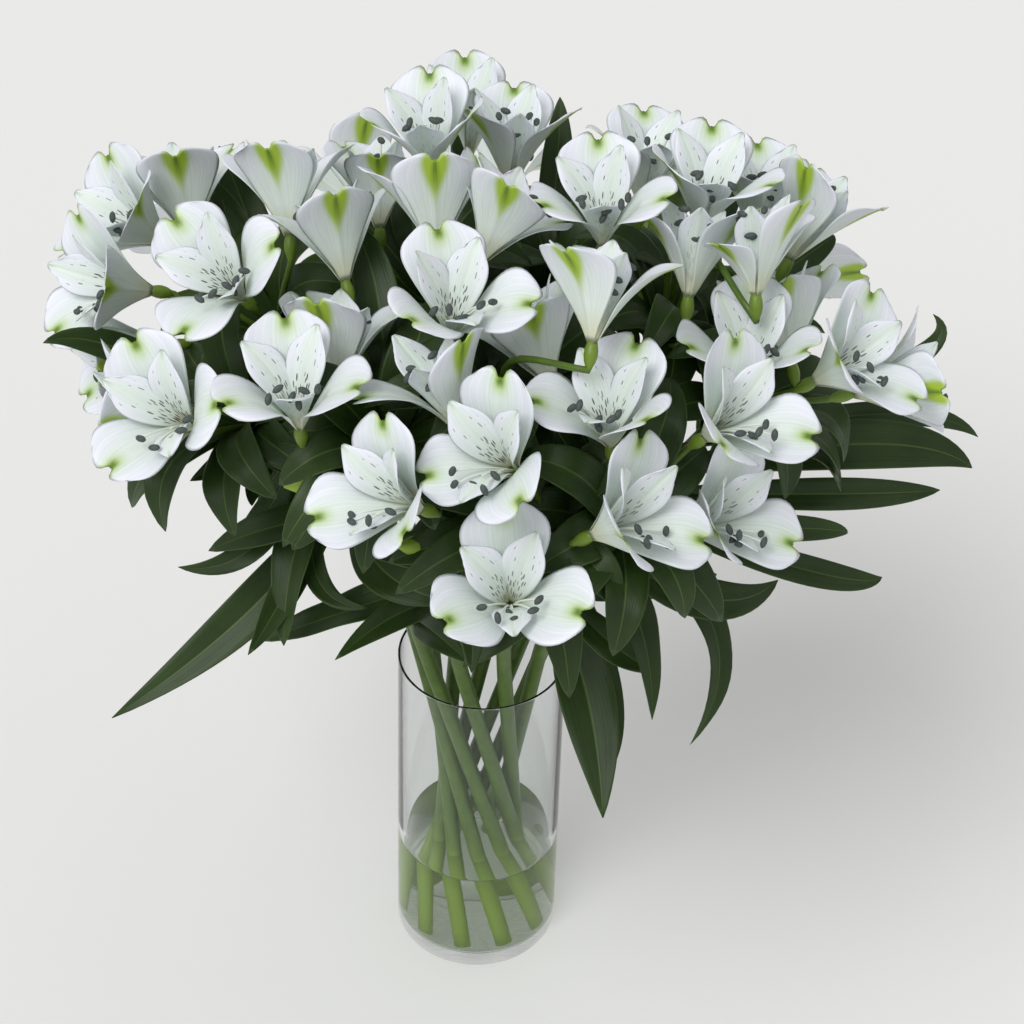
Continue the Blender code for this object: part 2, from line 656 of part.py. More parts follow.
def settle_bloom(row, index, upper, space):
    """A bloom's throat, axis, body and stalk, at the depth where it gives way least."""
    aim = aimed_throat(row)
    if "lean" in row:
        frame = bloom_frame(facing(row["lean"], row["tilt"]), radians(row["spin"]))
    else:
        away = unit((aim - DOME_CENTRE) / DOME_RADII**2)
        frame = bloom_frame(unit(away + [0, 0, FAR_RISE]), pi / 2)
    axis = frame[2]
    draw = np.random.default_rng(SEED + index)
    scale = draw.uniform(*SIZE_DRAW)
    openings = draw.uniform(-TEPAL_DRAW, TEPAL_DRAW, len(TEPALS))
    turnings = draw.uniform(-TEPAL_DRAW, TEPAL_DRAW, len(TEPALS))
    best, best_cost = None, np.inf
    for sink in SINK_STEPS:
        throat = aim + sink * SINK_STEP * unit(sight(row["pixel"]))
        cost, tepals = SINK_COST * abs(sink), []
        if not space.rod_clear(*ovary_rod(throat, axis, -CORE_HEIGHT)):
            continue
        for (kind, bearing, *sides), opening, turning in zip(TEPALS, openings, turnings):
            for shrink, open_step, turn_step in TEPAL_TRIES:
                end = radians(row["spread"] - kind["closer"]) + opening - open_step * OPEN_STEP
                way = radians(bearing) + turning + turn_step * TURN_STEP
                size = scale * (1 - shrink * SHRINK_STEP)
                rows = tepal(kind, throat, frame, size, way, end)
                rows[:, 0] = root_ring(throat, frame, sides)
                fat = tepal(kind, throat, frame, size, way, end, CLEAR)
                fat[:, 0] = root_ring(throat, frame, sides, CLEAR)
                if space.blade_clear(*blade(fat)) and space.blade_clear(*blade(rows)):
                    if not any(crosses(blade(rows), blade(other)) for other in tepals):
                        tepals.append(rows)
                        cost += try_cost((shrink, open_step, turn_step))
                        break
            if len(tepals) == 0 or cost >= best_cost:
                break
        if len(tepals) < len(TEPALS) or cost >= best_cost:
            continue
        body = bloom_body(throat, frame, tepals)
        space.add("trial", *body)
        stalk = find_stalk(throat, axis, row["stem"], upper, space)
        space.placed.pop()
        if stalk is not None:
            best, best_cost = dict(body=body, stalk=stalk, stem=row["stem"]), cost
    return best


def settle_blooms(rows, routes, space):
    """Places every bloom with its stalk, the ones that face the view first."""
    names = list(rows)
    order = sorted(names, key=lambda n: (rows[n].get("tilt", 180) // 30, -rows[n]["pixel"][1]))
    settled = {}
    for name in order:
        row = rows[name]
        bloom = settle_bloom(row, names.index(name), routes[row["stem"]]["upper"], space)
        space.add(name, *bloom["body"])
        bloom["piece"] = rod(name + "_stalk", *bloom.pop("stalk"), STALK_ROUND)
        space.add(row["stem"], *shape_of(bloom["piece"]))
        settled[name] = bloom
    return settled


def bud(row, upper):
    """Points and radii of a stalk that ends in a closed bud."""
    rim, handle, hub = upper
    tip = beside(hub, row["pixel"], row["nearer"])
    axis = unit(tip - hub + BUD_RISE * np.linalg.norm(tip - hub) * np.array([0, 0, 1.0]))
    swell = tip - BUD_LENGTH * np.outer(1 - BUD_ROWS[:, 0], axis)
    points = np.vstack([hub, (hub + swell[0]) / 2, swell])
    return points, np.concatenate([[STALK_RADIUS] * 2, BUD_ROWS[:, 1] * BUD_RADIUS])


def leaf(rows, root, middle, tip, width, face, roll, margin=0.0):
    """Lance-shaped leaf from root to tip by way of a middle point, folded a little upwards."""
    shares, widths = rows.T
    control = 2 * middle - (root + tip) / 2
    places = bezier((root, control, tip), shares)
    ways = bezier((control - root, tip - control), shares)
    ways /= np.linalg.norm(ways, axis=1)[:, None]
    across = np.cross(ways, face)
    across /= np.linalg.norm(across, axis=1)[:, None]
    normal = np.cross(across, ways)
    turn = roll * shares[:, None]
    across, normal = (
        np.cos(turn) * across + np.sin(turn) * normal,
        np.cos(turn) * normal - np.sin(turn) * across,
    )
    half = (widths * width / 2 + margin)[:, None]
    edge = places + LEAF_FOLD * half * normal
    thick = (LEAF_HALF + margin) * normal
    rows = [edge - half * across, places + thick, edge + half * across, places - thick]
    return blade(np.array(rows), pointed=True)


def settle_seen_leaf(row, upper, space):
    """A leaf whose middle and tip are seen in the picture, at the first depth that is clear."""
    root = bezier(upper, [row["share"]])[0]
    roll = radians(row.get("roll", 0))
    for depth, belly in LEAF_TRIES:
        nearer = row.get("nearer", 0) + depth * LEAF_STEP
        tip = beside(root, row["tip"], nearer)
        middle = beside(root, row["via"], nearer / 2 + belly * LEAF_STEP)
        shape = (SEEN_ROWS, root, middle, tip, row["width"], TO_EYE, roll)
        if space.blade_clear(*leaf(*shape, CLEAR), (row["stem"],)):
            return leaf(*shape)
    return None


def settle_grown_leaf(upper, letter, share, bearing, length, width, rise, space):
    """A leaf that grows from the stem at this bearing, turned until it is clear."""
    root = bezier(upper, [share])[0]
    way = unit(bezier((upper[1] - upper[0], upper[2] - upper[1]), [share])[0])
    side = unit(np.cross(way, TO_EYE))
    front = np.cross(side, way)
    for turn in GROWN_TRIES:
        angle = bearing + radians(turn)
        out = cos(angle) * side + sin(angle) * front
        middle = root + length * (GROWN_OUT[0] * out + (rise + GROWN_ARCH) * way)
        tip = root + length * (GROWN_OUT[1] * out + rise * way)
        shape = (GROWN_ROWS, root, middle, tip, width, way, 0.0)
        if space.blade_clear(*leaf(*shape, CLEAR), (letter,)):
            return leaf(*shape)
    return None


def cane(letter, route):
    """The stem itself, straight through the water and bent above the rim."""
    points = np.vstack([route["foot"], bezier(route["upper"], np.linspace(0, 1, STEM_ROWS))])
    radii = np.linspace(STEM_FOOT_RADIUS, STEM_HUB_RADIUS, STEM_ROWS + 1)
    return rod(f"stem_{letter}_cane", points, radii, CANE_ROUND)


def leaf_pieces(letter, upper, space):
    """Leaves of one stem: the ones seen in the picture, then a whorl and some lower ones."""
    draw = np.random.default_rng(SEED + ord(letter))
    blades = [settle_seen_leaf(row, upper, space) for row in LEAVES if row["stem"] == letter]
    bearing = draw.uniform(0, tau)
    for share, length, width, rise in GROWN_LEAVES:
        length *= draw.uniform(*GROWN_DRAW)
        bearing += GOLDEN_TURN
        blades.append(
            settle_grown_leaf(upper, letter, share, bearing, length, width, rise, space)
        )
    blades = [shape for shape in blades if shape]
    for vertices, faces in blades:
        space.add(letter, vertices, faces)
    return [mesh_object(f"stem_{letter}_leaf", *shape) for shape in blades]


def make_vase(collection, finish):
    """Glass cylinder turned from its profile, with a thick floor and a rounded foot."""
    inside = VASE_RADIUS - VASE_WALL
    lip = VASE_WALL / 2
    profile = [(0, VASE_FLOOR), (inside, VASE_FLOOR)]
    for step in range(LIP_STEPS + 1):
        turn = pi - pi * step / LIP_STEPS
        profile.append((inside + lip + lip * cos(turn), VASE_HEIGHT - lip + lip * sin(turn)))
    middle = VASE_RADIUS - VASE_FOOT_ROUND
    for step in range(LIP_STEPS + 1):
        turn = pi / 2 * step / LIP_STEPS
        profile.append(
            (middle + VASE_FOOT_ROUND * cos(turn), VASE_FOOT_ROUND * (1 - sin(turn)))
        )
    profile.append((0, 0))
    vertices = [(across, 0, height) for across, height in profile]
    mesh = bpy.data.meshes.new("vase")
    mesh.from_pydata(vertices, [(a, a + 1) for a in range(len(vertices) - 1)], [])
    vase = bpy.data.objects.new("vase", mesh)
    collection.objects.link(vase)
    screw = vase.modifiers.new("turn", "SCREW")
    screw.steps = VASE_STEPS
    screw.render_steps = VASE_STEPS
    screw.use_merge_vertices = True
    screw.merge_threshold = WELD
    mesh.materials.append(finish)


def make_water(collection, cutters, finish, routes):
    """Water in the foot of the vase, with a plain hole for each stem."""
    bpy.ops.mesh.primitive_cylinder_add(
        vertices=VASE_STEPS,
        radius=VASE_RADIUS - VASE_WALL - GAP,
        depth=WATER_TOP - VASE_FLOOR - GAP,
        location=(0, 0, (WATER_TOP + VASE_FLOOR + GAP) / 2),
    )
    water = bpy.context.object
    water.name = "water"
    for other in list(water.users_collection):
        other.objects.unlink(water)
    collection.objects.link(water)
    water.data.materials.append(finish)
    for letter, route in routes.items():
        foot, rim = route["foot"], route["upper"][0]
        below = foot + (foot - rim) * HOLE_PAST
        ends = np.vstack([below, (foot + rim) / 2])
        cutter = rod(f"hole_{letter}", ends, [STEM_FOOT_RADIUS + HOLE_GAP] * 2, CANE_ROUND)
        cutter.hide_render = True
        cutter.display_type = "WIRE"
        cutters.objects.link(cutter)
    holes = water.modifiers.new("stem_holes", "BOOLEAN")
    holes.operation = "DIFFERENCE"
    holes.operand_type = "COLLECTION"
    holes.collection = cutters
    holes.solver = "EXACT"


def new_collection(name):
    collection = bpy.data.collections.new(name)
    bpy.context.scene.collection.children.link(collection)
    return collection


def build():
    for old in list(bpy.data.objects):
        bpy.data.objects.remove(old, do_unlink=True)
    bouquet, cutters = new_collection("alstroemeria_bouquet"), new_collection("cutters")
    glass = material("clear_glass", "EEF4F4", 0.03, transmission=1.0)
    still_water = material("still_water", "EAF3EE", 0.02, transmission=1.0)
    green = material("leaf_green", "3C5A2A", 0.45)
    white = material("white_tepals", "F1F3F5", 0.5)

    rows, space = {**BLOOMS, **FAR_BLOOMS}, Space()
    routes = stem_routes(rows)
    pieces = {letter: [cane(letter, route)] for letter, route in routes.items()}
    for letter, (piece,) in pieces.items():
        space.add(letter, *shape_of(piece))
    for name, bloom in settle_blooms(rows, routes, space).items():
        pieces[bloom["stem"]].append(bloom["piece"])
        body = mesh_object(name, *bloom["body"])
        body.data.materials.append(white)
        bouquet.objects.link(body)
    for row in BUDS:
        upper = routes[row["stem"]]["upper"]
        pieces[row["stem"]].append(rod("bud", *bud(row, upper), STALK_ROUND))
        space.add(row["stem"], *shape_of(pieces[row["stem"]][-1]))
    for letter, route in routes.items():
        pieces[letter] += leaf_pieces(letter, route["upper"], space)
        fuse(f"stem_{letter}", pieces[letter], green, bouquet)
    make_vase(bouquet, glass)
    make_water(bouquet, cutters, still_water, routes)


build()
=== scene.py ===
"""Looks for a bunch of white Peruvian lilies in a clear glass cylinder of water.

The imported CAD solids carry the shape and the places. This script puts finer surfaces on them,
works the finishes out as shader nodes, and lights a plain studio for the reference view.
"""

from itertools import product
from math import cos, pi, radians, sin, tau

import bpy
import numpy as np
from mathutils import Matrix, Vector


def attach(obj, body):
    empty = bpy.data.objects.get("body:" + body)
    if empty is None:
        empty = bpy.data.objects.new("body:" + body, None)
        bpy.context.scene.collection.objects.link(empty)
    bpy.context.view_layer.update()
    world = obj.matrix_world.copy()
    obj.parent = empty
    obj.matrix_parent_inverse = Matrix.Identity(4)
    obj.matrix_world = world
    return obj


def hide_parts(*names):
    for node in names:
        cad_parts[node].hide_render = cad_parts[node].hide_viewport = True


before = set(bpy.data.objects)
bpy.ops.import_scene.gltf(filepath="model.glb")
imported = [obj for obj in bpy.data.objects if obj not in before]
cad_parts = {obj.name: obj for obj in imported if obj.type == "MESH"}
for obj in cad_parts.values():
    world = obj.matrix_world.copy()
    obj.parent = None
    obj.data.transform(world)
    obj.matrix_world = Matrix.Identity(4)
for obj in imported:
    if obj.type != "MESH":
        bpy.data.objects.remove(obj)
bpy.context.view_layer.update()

# Glass vase
# A blown cylinder with a thick floor, turned here from one profile. Its wall thins towards a
# fire-polished rim, and its foot is rounded.
VASE_RADIUS = 0.0375
VASE_HEIGHT = 0.168
VASE_WALL = 0.0028
VASE_FLOOR = 0.009
VASE_FOOT_ROUND = 0.006
VASE_CORNER_ROUND = 0.003
VASE_LIP_ROUND = 0.0005
VASE_TAPER_FROM = 0.066
VASE_SIDES = 96
ARC_STEPS = 8
LONG_RUN = 0.004
HOLDING_GAP = 0.0004
GLASS_TINT = "F6F8F8"
GLASS_GLINT = "B4B8B8"
GLASS_BENDING = 1.5


def linear(code):
    """Scene-linear colour of a six-digit sRGB hex code."""
    parts = np.array([int(code[at : at + 2], 16) for at in (0, 2, 4)]) / 255
    return (*np.where(parts > 0.04045, ((parts + 0.055) / 1.055) ** 2.4, parts / 12.92), 1.0)


def finish(name):
    """A new material, a function that adds nodes to it and one that sets its shader."""
    made = bpy.data.materials.new(name)
    made.use_nodes = True
    tree = made.node_tree

    def fill(node, values):
        """Sets or links inputs of a node, found by name or by a number as in v1."""
        for key, value in values.items():
            socket = node.inputs[int(key[1:]) if key[1:].isdigit() else key.replace("_", " ")]
            if isinstance(value, bpy.types.NodeSocket):
                tree.links.new(value, socket)
            else:
                socket.default_value = value

    def add(kind, settings=None, out=0, **values):
        """Adds a node with its settings, values and links, and gives one of its outputs."""
        node = tree.nodes.new("ShaderNode" + kind)
        for key, value in (settings or {}).items():
            setattr(node, key, value)
        fill(node, values)
        return node.outputs[out]

    def wear(**values):
        """Sets or links inputs of the Principled shader."""
        fill(tree.nodes["Principled BSDF"], values)

    return made, add, wear


def lay(name, points, faces, material, nodes, slot, uv=None, marks=None):
    """A smooth piece on the frame that stands for CAD nodes, with its UV map and marks."""
    mesh = bpy.data.meshes.new(name)
    mesh.from_pydata(np.asarray(points).tolist(), [], [list(face) for face in faces])
    mesh.shade_smooth()
    if uv is not None:
        corners = np.empty(len(mesh.loops), int)
        mesh.loops.foreach_get("vertex_index", corners)
        layer = mesh.uv_layers.new(name="UVMap")
        layer.data.foreach_set("uv", np.asarray(uv)[corners].astype(np.float32).ravel())
    for mark, values in (marks or {}).items():
        attribute = mesh.attributes.new(mark, "FLOAT", "POINT")
        attribute.data.foreach_set("value", np.asarray(values, np.float32))
    mesh.materials.append(material)
    piece = bpy.data.objects.new(name, mesh)
    bpy.context.scene.collection.objects.link(piece)
    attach(piece, "root")
    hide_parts(*nodes)
    return piece


def arc(middle, radius, start, end, steps):
    """Points of an arc in the profile plane, angles in quarter turns."""
    turn = np.linspace(start, end, steps + 1) * pi / 2
    return np.stack([middle[0] + radius * np.cos(turn), middle[1] + radius * np.sin(turn)], 1)


def held_flat(profile):
    """Profile with two more points near the ends of each long run, so that it shades straight."""
    points = [profile[0]]
    for start, end in zip(profile, profile[1:]):
        way = (end - start) / np.linalg.norm(end - start)
        if np.linalg.norm(end - start) > LONG_RUN:
            points += [start + HOLDING_GAP * way, end - HOLDING_GAP * way]
        points.append(end)
    return np.array(points)


def skin(rings, first, last):
    """Closed body over rings of points, with a fan from a middle point at each end."""
    count, sides = rings.shape[:2]
    points = np.vstack([rings.reshape(-1, 3), first, last])
    index = np.arange(count * sides).reshape(count, sides)
    after = np.roll(index, -1, axis=1)
    faces = np.stack([index[:-1], after[:-1], after[1:], index[1:]], axis=2).reshape(-1, 4)
    start, end = len(points) - 2, len(points) - 1
    caps = [(start, b, a) for a, b in zip(index[0], after[0])]
    caps += [(end, a, b) for a, b in zip(index[-1], after[-1])]
    return points, [*faces.tolist(), *caps]


def lathe(profile):
    """Closed body turned round Z from a profile that leaves the axis below and ends on it."""
    profile = held_flat(np.asarray(profile, float))
    turn = tau * np.arange(VASE_SIDES) / VASE_SIDES
    out, up = profile[1:-1, :1], profile[1:-1, 1:]
    rings = np.stack([out * np.cos(turn), out * np.sin(turn), up + 0 * turn], axis=2)
    return skin(rings, [0, 0, profile[0, 1]], [0, 0, profile[-1, 1]])


inside = VASE_RADIUS - VASE_WALL
lip = VASE_LIP_ROUND
corner = VASE_CORNER_ROUND
foot = VASE_FOOT_ROUND
vase_profile = np.vstack(
    [
        (0, 0),
        arc((VASE_RADIUS - foot, foot), foot, -1, 0, ARC_STEPS),
        arc((VASE_RADIUS - lip, VASE_HEIGHT - lip), lip, 0, 2, ARC_STEPS),
        (inside, VASE_TAPER_FROM),
        arc((inside - corner, VASE_FLOOR + corner), corner, 0, -1, ARC_STEPS),
        (0, VASE_FLOOR),
    ]
)

# Soda-lime glass: poured and blown, so it is even and all but colourless. Its reflections are
# weakened, because this studio's even sky would veil the canes more than the real light does.
# It casts no shadow, as the renderer would otherwise leave the canes dark.
glass, add, wear = finish("soda_lime_glass")
wear(
    Base_Color=linear(GLASS_TINT),
    Roughness=0.0,
    IOR=GLASS_BENDING,
    Transmission_Weight=1.0,
    Specular_Tint=linear(GLASS_GLINT),
)
vase = lay("vase_glass", *lathe(vase_profile), glass, ["vase"], "clear_glass")
vase.visible_shadow = False
vase.visible_diffuse = False

# Water
# It fills the foot of the vase and overlaps the glass by a hair, so that no air gap shows.
# Its edge climbs the glass by a millimetre.
WATER_TOP = 0.058
WATER_OVERLAP = 0.0002
WATER_CLIMB = 0.0012
CORNER_CUT = 0.3
CLIMB_BEND = (0.5, 0.3)
CLIMB_REACH = 1.5
# Grey-green tint of the water, darkened further as painted shade inside the vase
WATER_TINT_AND_SHADE = "BCC6B4"
WATER_BENDING = 1.333

edge = inside + WATER_OVERLAP
water_profile = np.array(
    [
        (0, VASE_FLOOR - WATER_OVERLAP),
        (edge - corner, VASE_FLOOR - WATER_OVERLAP),
        (edge - CORNER_CUT * corner, VASE_FLOOR + CORNER_CUT * corner - WATER_OVERLAP),
        (edge, VASE_FLOOR + corner),
        (edge, WATER_TOP + WATER_CLIMB),
        (edge - CLIMB_BEND[0] * WATER_CLIMB, WATER_TOP + CLIMB_BEND[1] * WATER_CLIMB),
        (edge - CLIMB_REACH * WATER_CLIMB, WATER_TOP),
        (0, WATER_TOP),
    ]
)

# Water that canes have stood in: clear, with a trace of grey-green from their sap. The tint is
# darkened further as painted shade, since neither the glass nor the water casts a shadow into the
# vase.
water, add, wear = finish("fresh_water")
wear(Base_Color=linear(WATER_TINT_AND_SHADE), Roughness=0.0, IOR=WATER_BENDING, Transmission_Weight=1.0)
pool = lay("water_body", *lathe(water_profile), water, ["water"], "still_water")
pool.visible_shadow = False
pool.visible_diffuse = False


# Plan of the bunch
# The same rules as the CAD source place every bloom, cane and leaf, from where the reference
# view shows them. Each choice that the CAD made to keep its solids clear of each other is read
# back by looking for that choice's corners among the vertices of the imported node.
SEED = 20
SAME_PLACE = 0.00006

# The reference view: how places in the picture turn into places in the bunch
VIEW_DOWN = radians(39)
VIEW_ROLL = radians(1.8)
VIEW_FOCAL_PIXELS = 2912
VIEW_MIDDLE_PIXEL = 512
RIM_MIDDLE_PIXEL = (482, 652)
RIM_DISTANCE = 1.300
DOME_CENTRE = np.array([0.004, 0.0, 0.318])
DOME_RADII = np.array([0.165, 0.145, 0.096])


def unit(vector):
    """The vector's direction, of length one."""
    return np.asarray(vector, float) / np.linalg.norm(vector)


TO_EYE = np.array([0.0, -cos(VIEW_DOWN), sin(VIEW_DOWN)])
LEVEL_RIGHT = np.array([1.0, 0.0, 0.0])
LEVEL_UP = np.array([0.0, sin(VIEW_DOWN), cos(VIEW_DOWN)])
RIGHT = cos(VIEW_ROLL) * LEVEL_RIGHT + sin(VIEW_ROLL) * LEVEL_UP
UP = cos(VIEW_ROLL) * LEVEL_UP - sin(VIEW_ROLL) * LEVEL_RIGHT


def sight(pixel):
    """Line of sight through a pixel, as a step that goes one metre deep."""
    across = (pixel[0] - VIEW_MIDDLE_PIXEL) / VIEW_FOCAL_PIXELS
    upward = (VIEW_MIDDLE_PIXEL - pixel[1]) / VIEW_FOCAL_PIXELS
    return across * RIGHT + upward * UP - TO_EYE


EYE = np.array([0.0, 0.0, VASE_HEIGHT]) - RIM_DISTANCE * sight(RIM_MIDDLE_PIXEL)


def on_dome(pixel, far=False):
    """Where the line of sight meets the dome of blooms, or comes nearest to it."""
    ray = sight(pixel) / DOME_RADII
    start = (EYE - DOME_CENTRE) / DOME_RADII
    a, b, c = ray @ ray, ray @ start, start @ start - 1
    root = max(b * b - a * c, 0) ** 0.5
    depth = (root - b) / a if far else (-root - b) / a
    return EYE + depth * sight(pixel)


def beside(place, pixel, nearer):
    """The point seen at a pixel that lies this much nearer the eye than a place does."""
    depth = (EYE - place) @ TO_EYE
    return EYE + (depth - nearer) * sight(pixel)


def facing(lean, tilt):
    """Axis turned by tilt from the eye, towards the picture's direction lean."""
    lean, tilt = radians(lean), radians(tilt)
    return cos(tilt) * TO_EYE + sin(tilt) * (cos(lean) * RIGHT + sin(lean) * UP)


def bezier(corners, shares):
    """Points of a Bezier curve at these shares of its run."""
    shares = np.asarray(shares, float)[:, None]
    corners = [np.asarray(corner, float) for corner in corners]
    while len(corners) > 1:
        corners = [(1 - shares) * a + shares * b for a, b in zip(corners, corners[1:])]
    return corners[0]


# Each bloom, from bloom_01 on: its stem, the place of its throat in the picture, the lean and
# tilt of its axis, the direction of its top tepal in the picture, and how far it opens, in degrees
BLOOM_KEYS = ("stem", "pixel", "lean", "tilt", "spin", "spread")
BLOOM_ROWS = (
    ("d", (434, 179), 98, 50, 94, 50),
    ("d", (468, 160), 88, 62, 90, 48),
    ("f", (510, 187), 85, 66, 88, 52),
    ("d", (437, 257), 95, 85, 92, 52),
    ("e", (480, 263), 62, 80, 75, 60),
    ("f", (602, 246), 92, 45, 94, 64),
    ("f", (642, 208), 82, 66, 85, 58),
    ("g", (700, 233), 80, 54, 82, 58),
    ("g", (688, 300), 84, 80, 84, 50),
    ("g", (756, 298), 92, 78, 90, 46),
    ("g", (788, 262), 60, 80, 64, 42),
    ("g", (754, 244), 80, 66, 84, 58),
    ("h", (744, 388), 88, 45, 86, 64),
    ("h", (812, 382), 28, 52, 62, 64),
    ("h", (850, 394), 14, 86, 40, 54),
    ("i", (703, 438), 34, 42, 97, 68),
    ("j", (611, 447), 98, 42, 75, 68),
    ("e", (592, 346), 82, 84, 85, 58),
    ("e", (450, 339), 80, 38, 100, 68),
    ("e", (458, 430), 112, 68, 105, 54),
    ("j", (517, 472), 152, 30, 75, 68),
    ("j", (511, 609), 92, 20, 96, 68),
    ("i", (590, 536), 24, 52, 92, 62),
    ("i", (686, 531), 22, 48, 86, 62),
    ("c", (423, 509), 160, 42, 82, 64),
    ("c", (300, 430), 95, 45, 98, 66),
    ("c", (338, 395), 88, 82, 95, 54),
    ("a", (195, 428), 150, 27, 118, 68),
    ("b", (245, 299), 136, 30, 130, 68),
    ("a", (172, 346), 190, 72, 120, 50),
    ("b", (167, 244), 148, 54, 118, 54),
    ("b", (192, 241), 98, 84, 110, 56),
    ("b", (290, 239), 92, 84, 98, 56),
    ("c", (346, 284), 104, 86, 100, 54),
    ("d", (380, 231), 90, 84, 95, 46),
    ("a", (154, 291), 174, 56, 118, 60),
    ("a", (198, 410), 178, 84, 120, 48),
    ("e", (552, 387), 112, 80, 98, 58),
    ("h", (792, 366), 100, 84, 90, 48),
)
BLOOMS = {
    f"bloom_{number:02d}": dict(zip(BLOOM_KEYS, row)) for number, row in enumerate(BLOOM_ROWS, 1)
}

# Blooms on the far side, each behind a place in the picture, face out from the dome
FAR_BLOOMS = {
    "bloom_40": dict(stem="b", pixel=(222, 262), spread=62),
    "bloom_41": dict(stem="d", pixel=(362, 212), spread=64),
    "bloom_42": dict(stem="f", pixel=(505, 200), spread=66),
    "bloom_43": dict(stem="g", pixel=(645, 226), spread=62),
    "bloom_44": dict(stem="h", pixel=(768, 296), spread=60),
}
FAR_RISE = 0.55

# Tepals: their root ring, how they bend, and the length, half width, notch, angle at the start,
# angle that they close by, and share of the dashes of each kind, with the bearings of the six
ROOT_OUT = 0.0016
ROOT_UP = 0.0012
BLADE_HALF = 0.0005
BEND_POWER = 1.15
RIB_STEPS = 32
OUTER = dict(length=0.045, half=0.0162, notch=0.08, start=radians(20), closer=0, dashed=0.0)
UPPER = dict(length=0.0415, half=0.0087, notch=0, start=radians(5), closer=15, dashed=1.0)
LOWER = dict(length=0.038, half=0.0078, notch=0, start=radians(5), closer=10, dashed=0.3)
TEPALS = ((OUTER, 0), (UPPER, 38), (OUTER, 120), (LOWER, 180), (OUTER, -120), (UPPER, -38))

# Steps in which the CAD sinks a bloom, and makes a tepal smaller, less open or turned aside
SINK_STEP = 0.007
SINK_STEPS = (0, 1, -1, 2, -2, 3, -3, 4, -4, 5, -5, 6, 7)
OPEN_STEP = radians(8)
TURN_STEP = radians(11)
TURN_COST = 1.4
SHRINK_STEP = 0.14
SHRINK_COST = 3
SIZE_DRAW = (0.96, 1.03)
TEPAL_DRAW = radians(4)


def try_cost(steps):
    """How much a tepal has given way: steps smaller, steps less open and steps aside."""
    shrink, less_open, aside = steps
    return SHRINK_COST * shrink + abs(less_open) + TURN_COST * abs(aside)


TEPAL_TRIES = sorted(
    product((0, 1, 2, 4), range(-4, 7), range(-2, 3)), key=lambda steps: (try_cost(steps), steps)
)

# Canes: radius, the ring they stand in, and where their hubs lie behind their blooms
STEM_FOOT_RADIUS = 0.0036
RING_RADIUS = 0.0285
RING_TURN = radians(112)
FOOT_LIFT = 0.0016
RIM_CLEAR = 0.006
STEM_HANDLE = 0.45
NECK = np.array([0.0, 0.0, 0.200])
HUB_BACK = 0.048


def midrib(shares, length, start, end):
    """Distance out, distance up and slope along a tepal that bends away from the axis."""
    steps = np.linspace(0, 1, RIB_STEPS + 1)
    slope = start + (end - start) * steps**BEND_POWER
    middles = (slope[1:] + slope[:-1]) / 2
    out = np.concatenate([[0], np.cumsum(np.sin(middles))]) * length / RIB_STEPS + ROOT_OUT
    up = np.concatenate([[0], np.cumsum(np.cos(middles))]) * length / RIB_STEPS + ROOT_UP
    return [np.interp(shares, steps, values)[:, None] for values in (out, up, slope)]


def bloom_frame(axis, spin):
    """Side, top and axis of a bloom whose top tepal points to the picture's direction spin."""
    aim = cos(spin) * RIGHT + sin(spin) * UP
    top = unit(aim - (aim @ axis) * axis)
    return np.array([np.cross(top, axis), top, axis])


def aimed_throat(row):
    """Where a bloom's throat belongs on the dome: the far side if its row has no lean."""
    return on_dome(row["pixel"], "lean" not in row)


def stem_routes(rows):
    """Foot, rim and hub of every stem, in ring order, as a straight run and a bent one."""
    letters = sorted({row["stem"] for row in rows.values()})
    hubs = {}
    for letter in letters:
        middle = np.mean([aimed_throat(r) for r in rows.values() if r["stem"] == letter], axis=0)
        hubs[letter] = middle + HUB_BACK * unit(NECK - middle)
    bearing = {letter: np.arctan2(hub[1], hub[0]) for letter, hub in hubs.items()}
    ring = sorted(letters, key=lambda letter: bearing[letter])
    places = tau * np.arange(len(ring)) / len(ring)
    offset = np.mean([bearing[letter] - place for letter, place in zip(ring, places)])
    routes = {}
    for letter, place in zip(ring, places):
        turn = place + offset
        rim = np.array([RING_RADIUS * cos(turn), RING_RADIUS * sin(turn), VASE_HEIGHT + RIM_CLEAR])
        turn += RING_TURN
        foot = np.array([RING_RADIUS * cos(turn), RING_RADIUS * sin(turn), VASE_FLOOR + FOOT_LIFT])
        handle = rim + STEM_HANDLE * np.linalg.norm(hubs[letter] - rim) * unit(rim - foot)
        routes[letter] = dict(foot=foot, upper=(rim, handle, hubs[letter]))
    return routes


def cloud_of(node):
    """Vertices of a CAD node as an array."""
    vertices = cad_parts[node].data.vertices
    cloud = np.empty(3 * len(vertices), np.float32)
    vertices.foreach_get("co", cloud)
    return cloud.reshape(-1, 3).astype(float)


def held(cloud, places):
    """How many of these places are vertices of a CAD node."""
    far = np.abs(cloud[:, None] - np.atleast_2d(places)[None]).max(axis=2).min(axis=0)
    return (far < SAME_PLACE).sum()


def front_tip(kind, throat, axes, size, way, end):
    """The CAD's front corner in the middle of a tepal's end."""
    side, top, axis = axes
    out_way = cos(way) * top + sin(way) * side
    shares = np.array([1.0 - kind["notch"]])
    out, up, slope = midrib(shares, kind["length"] * size, kind["start"], end)
    inward = np.sin(slope) * axis - np.cos(slope) * out_way
    return throat + out * out_way + up * axis + BLADE_HALF * inward


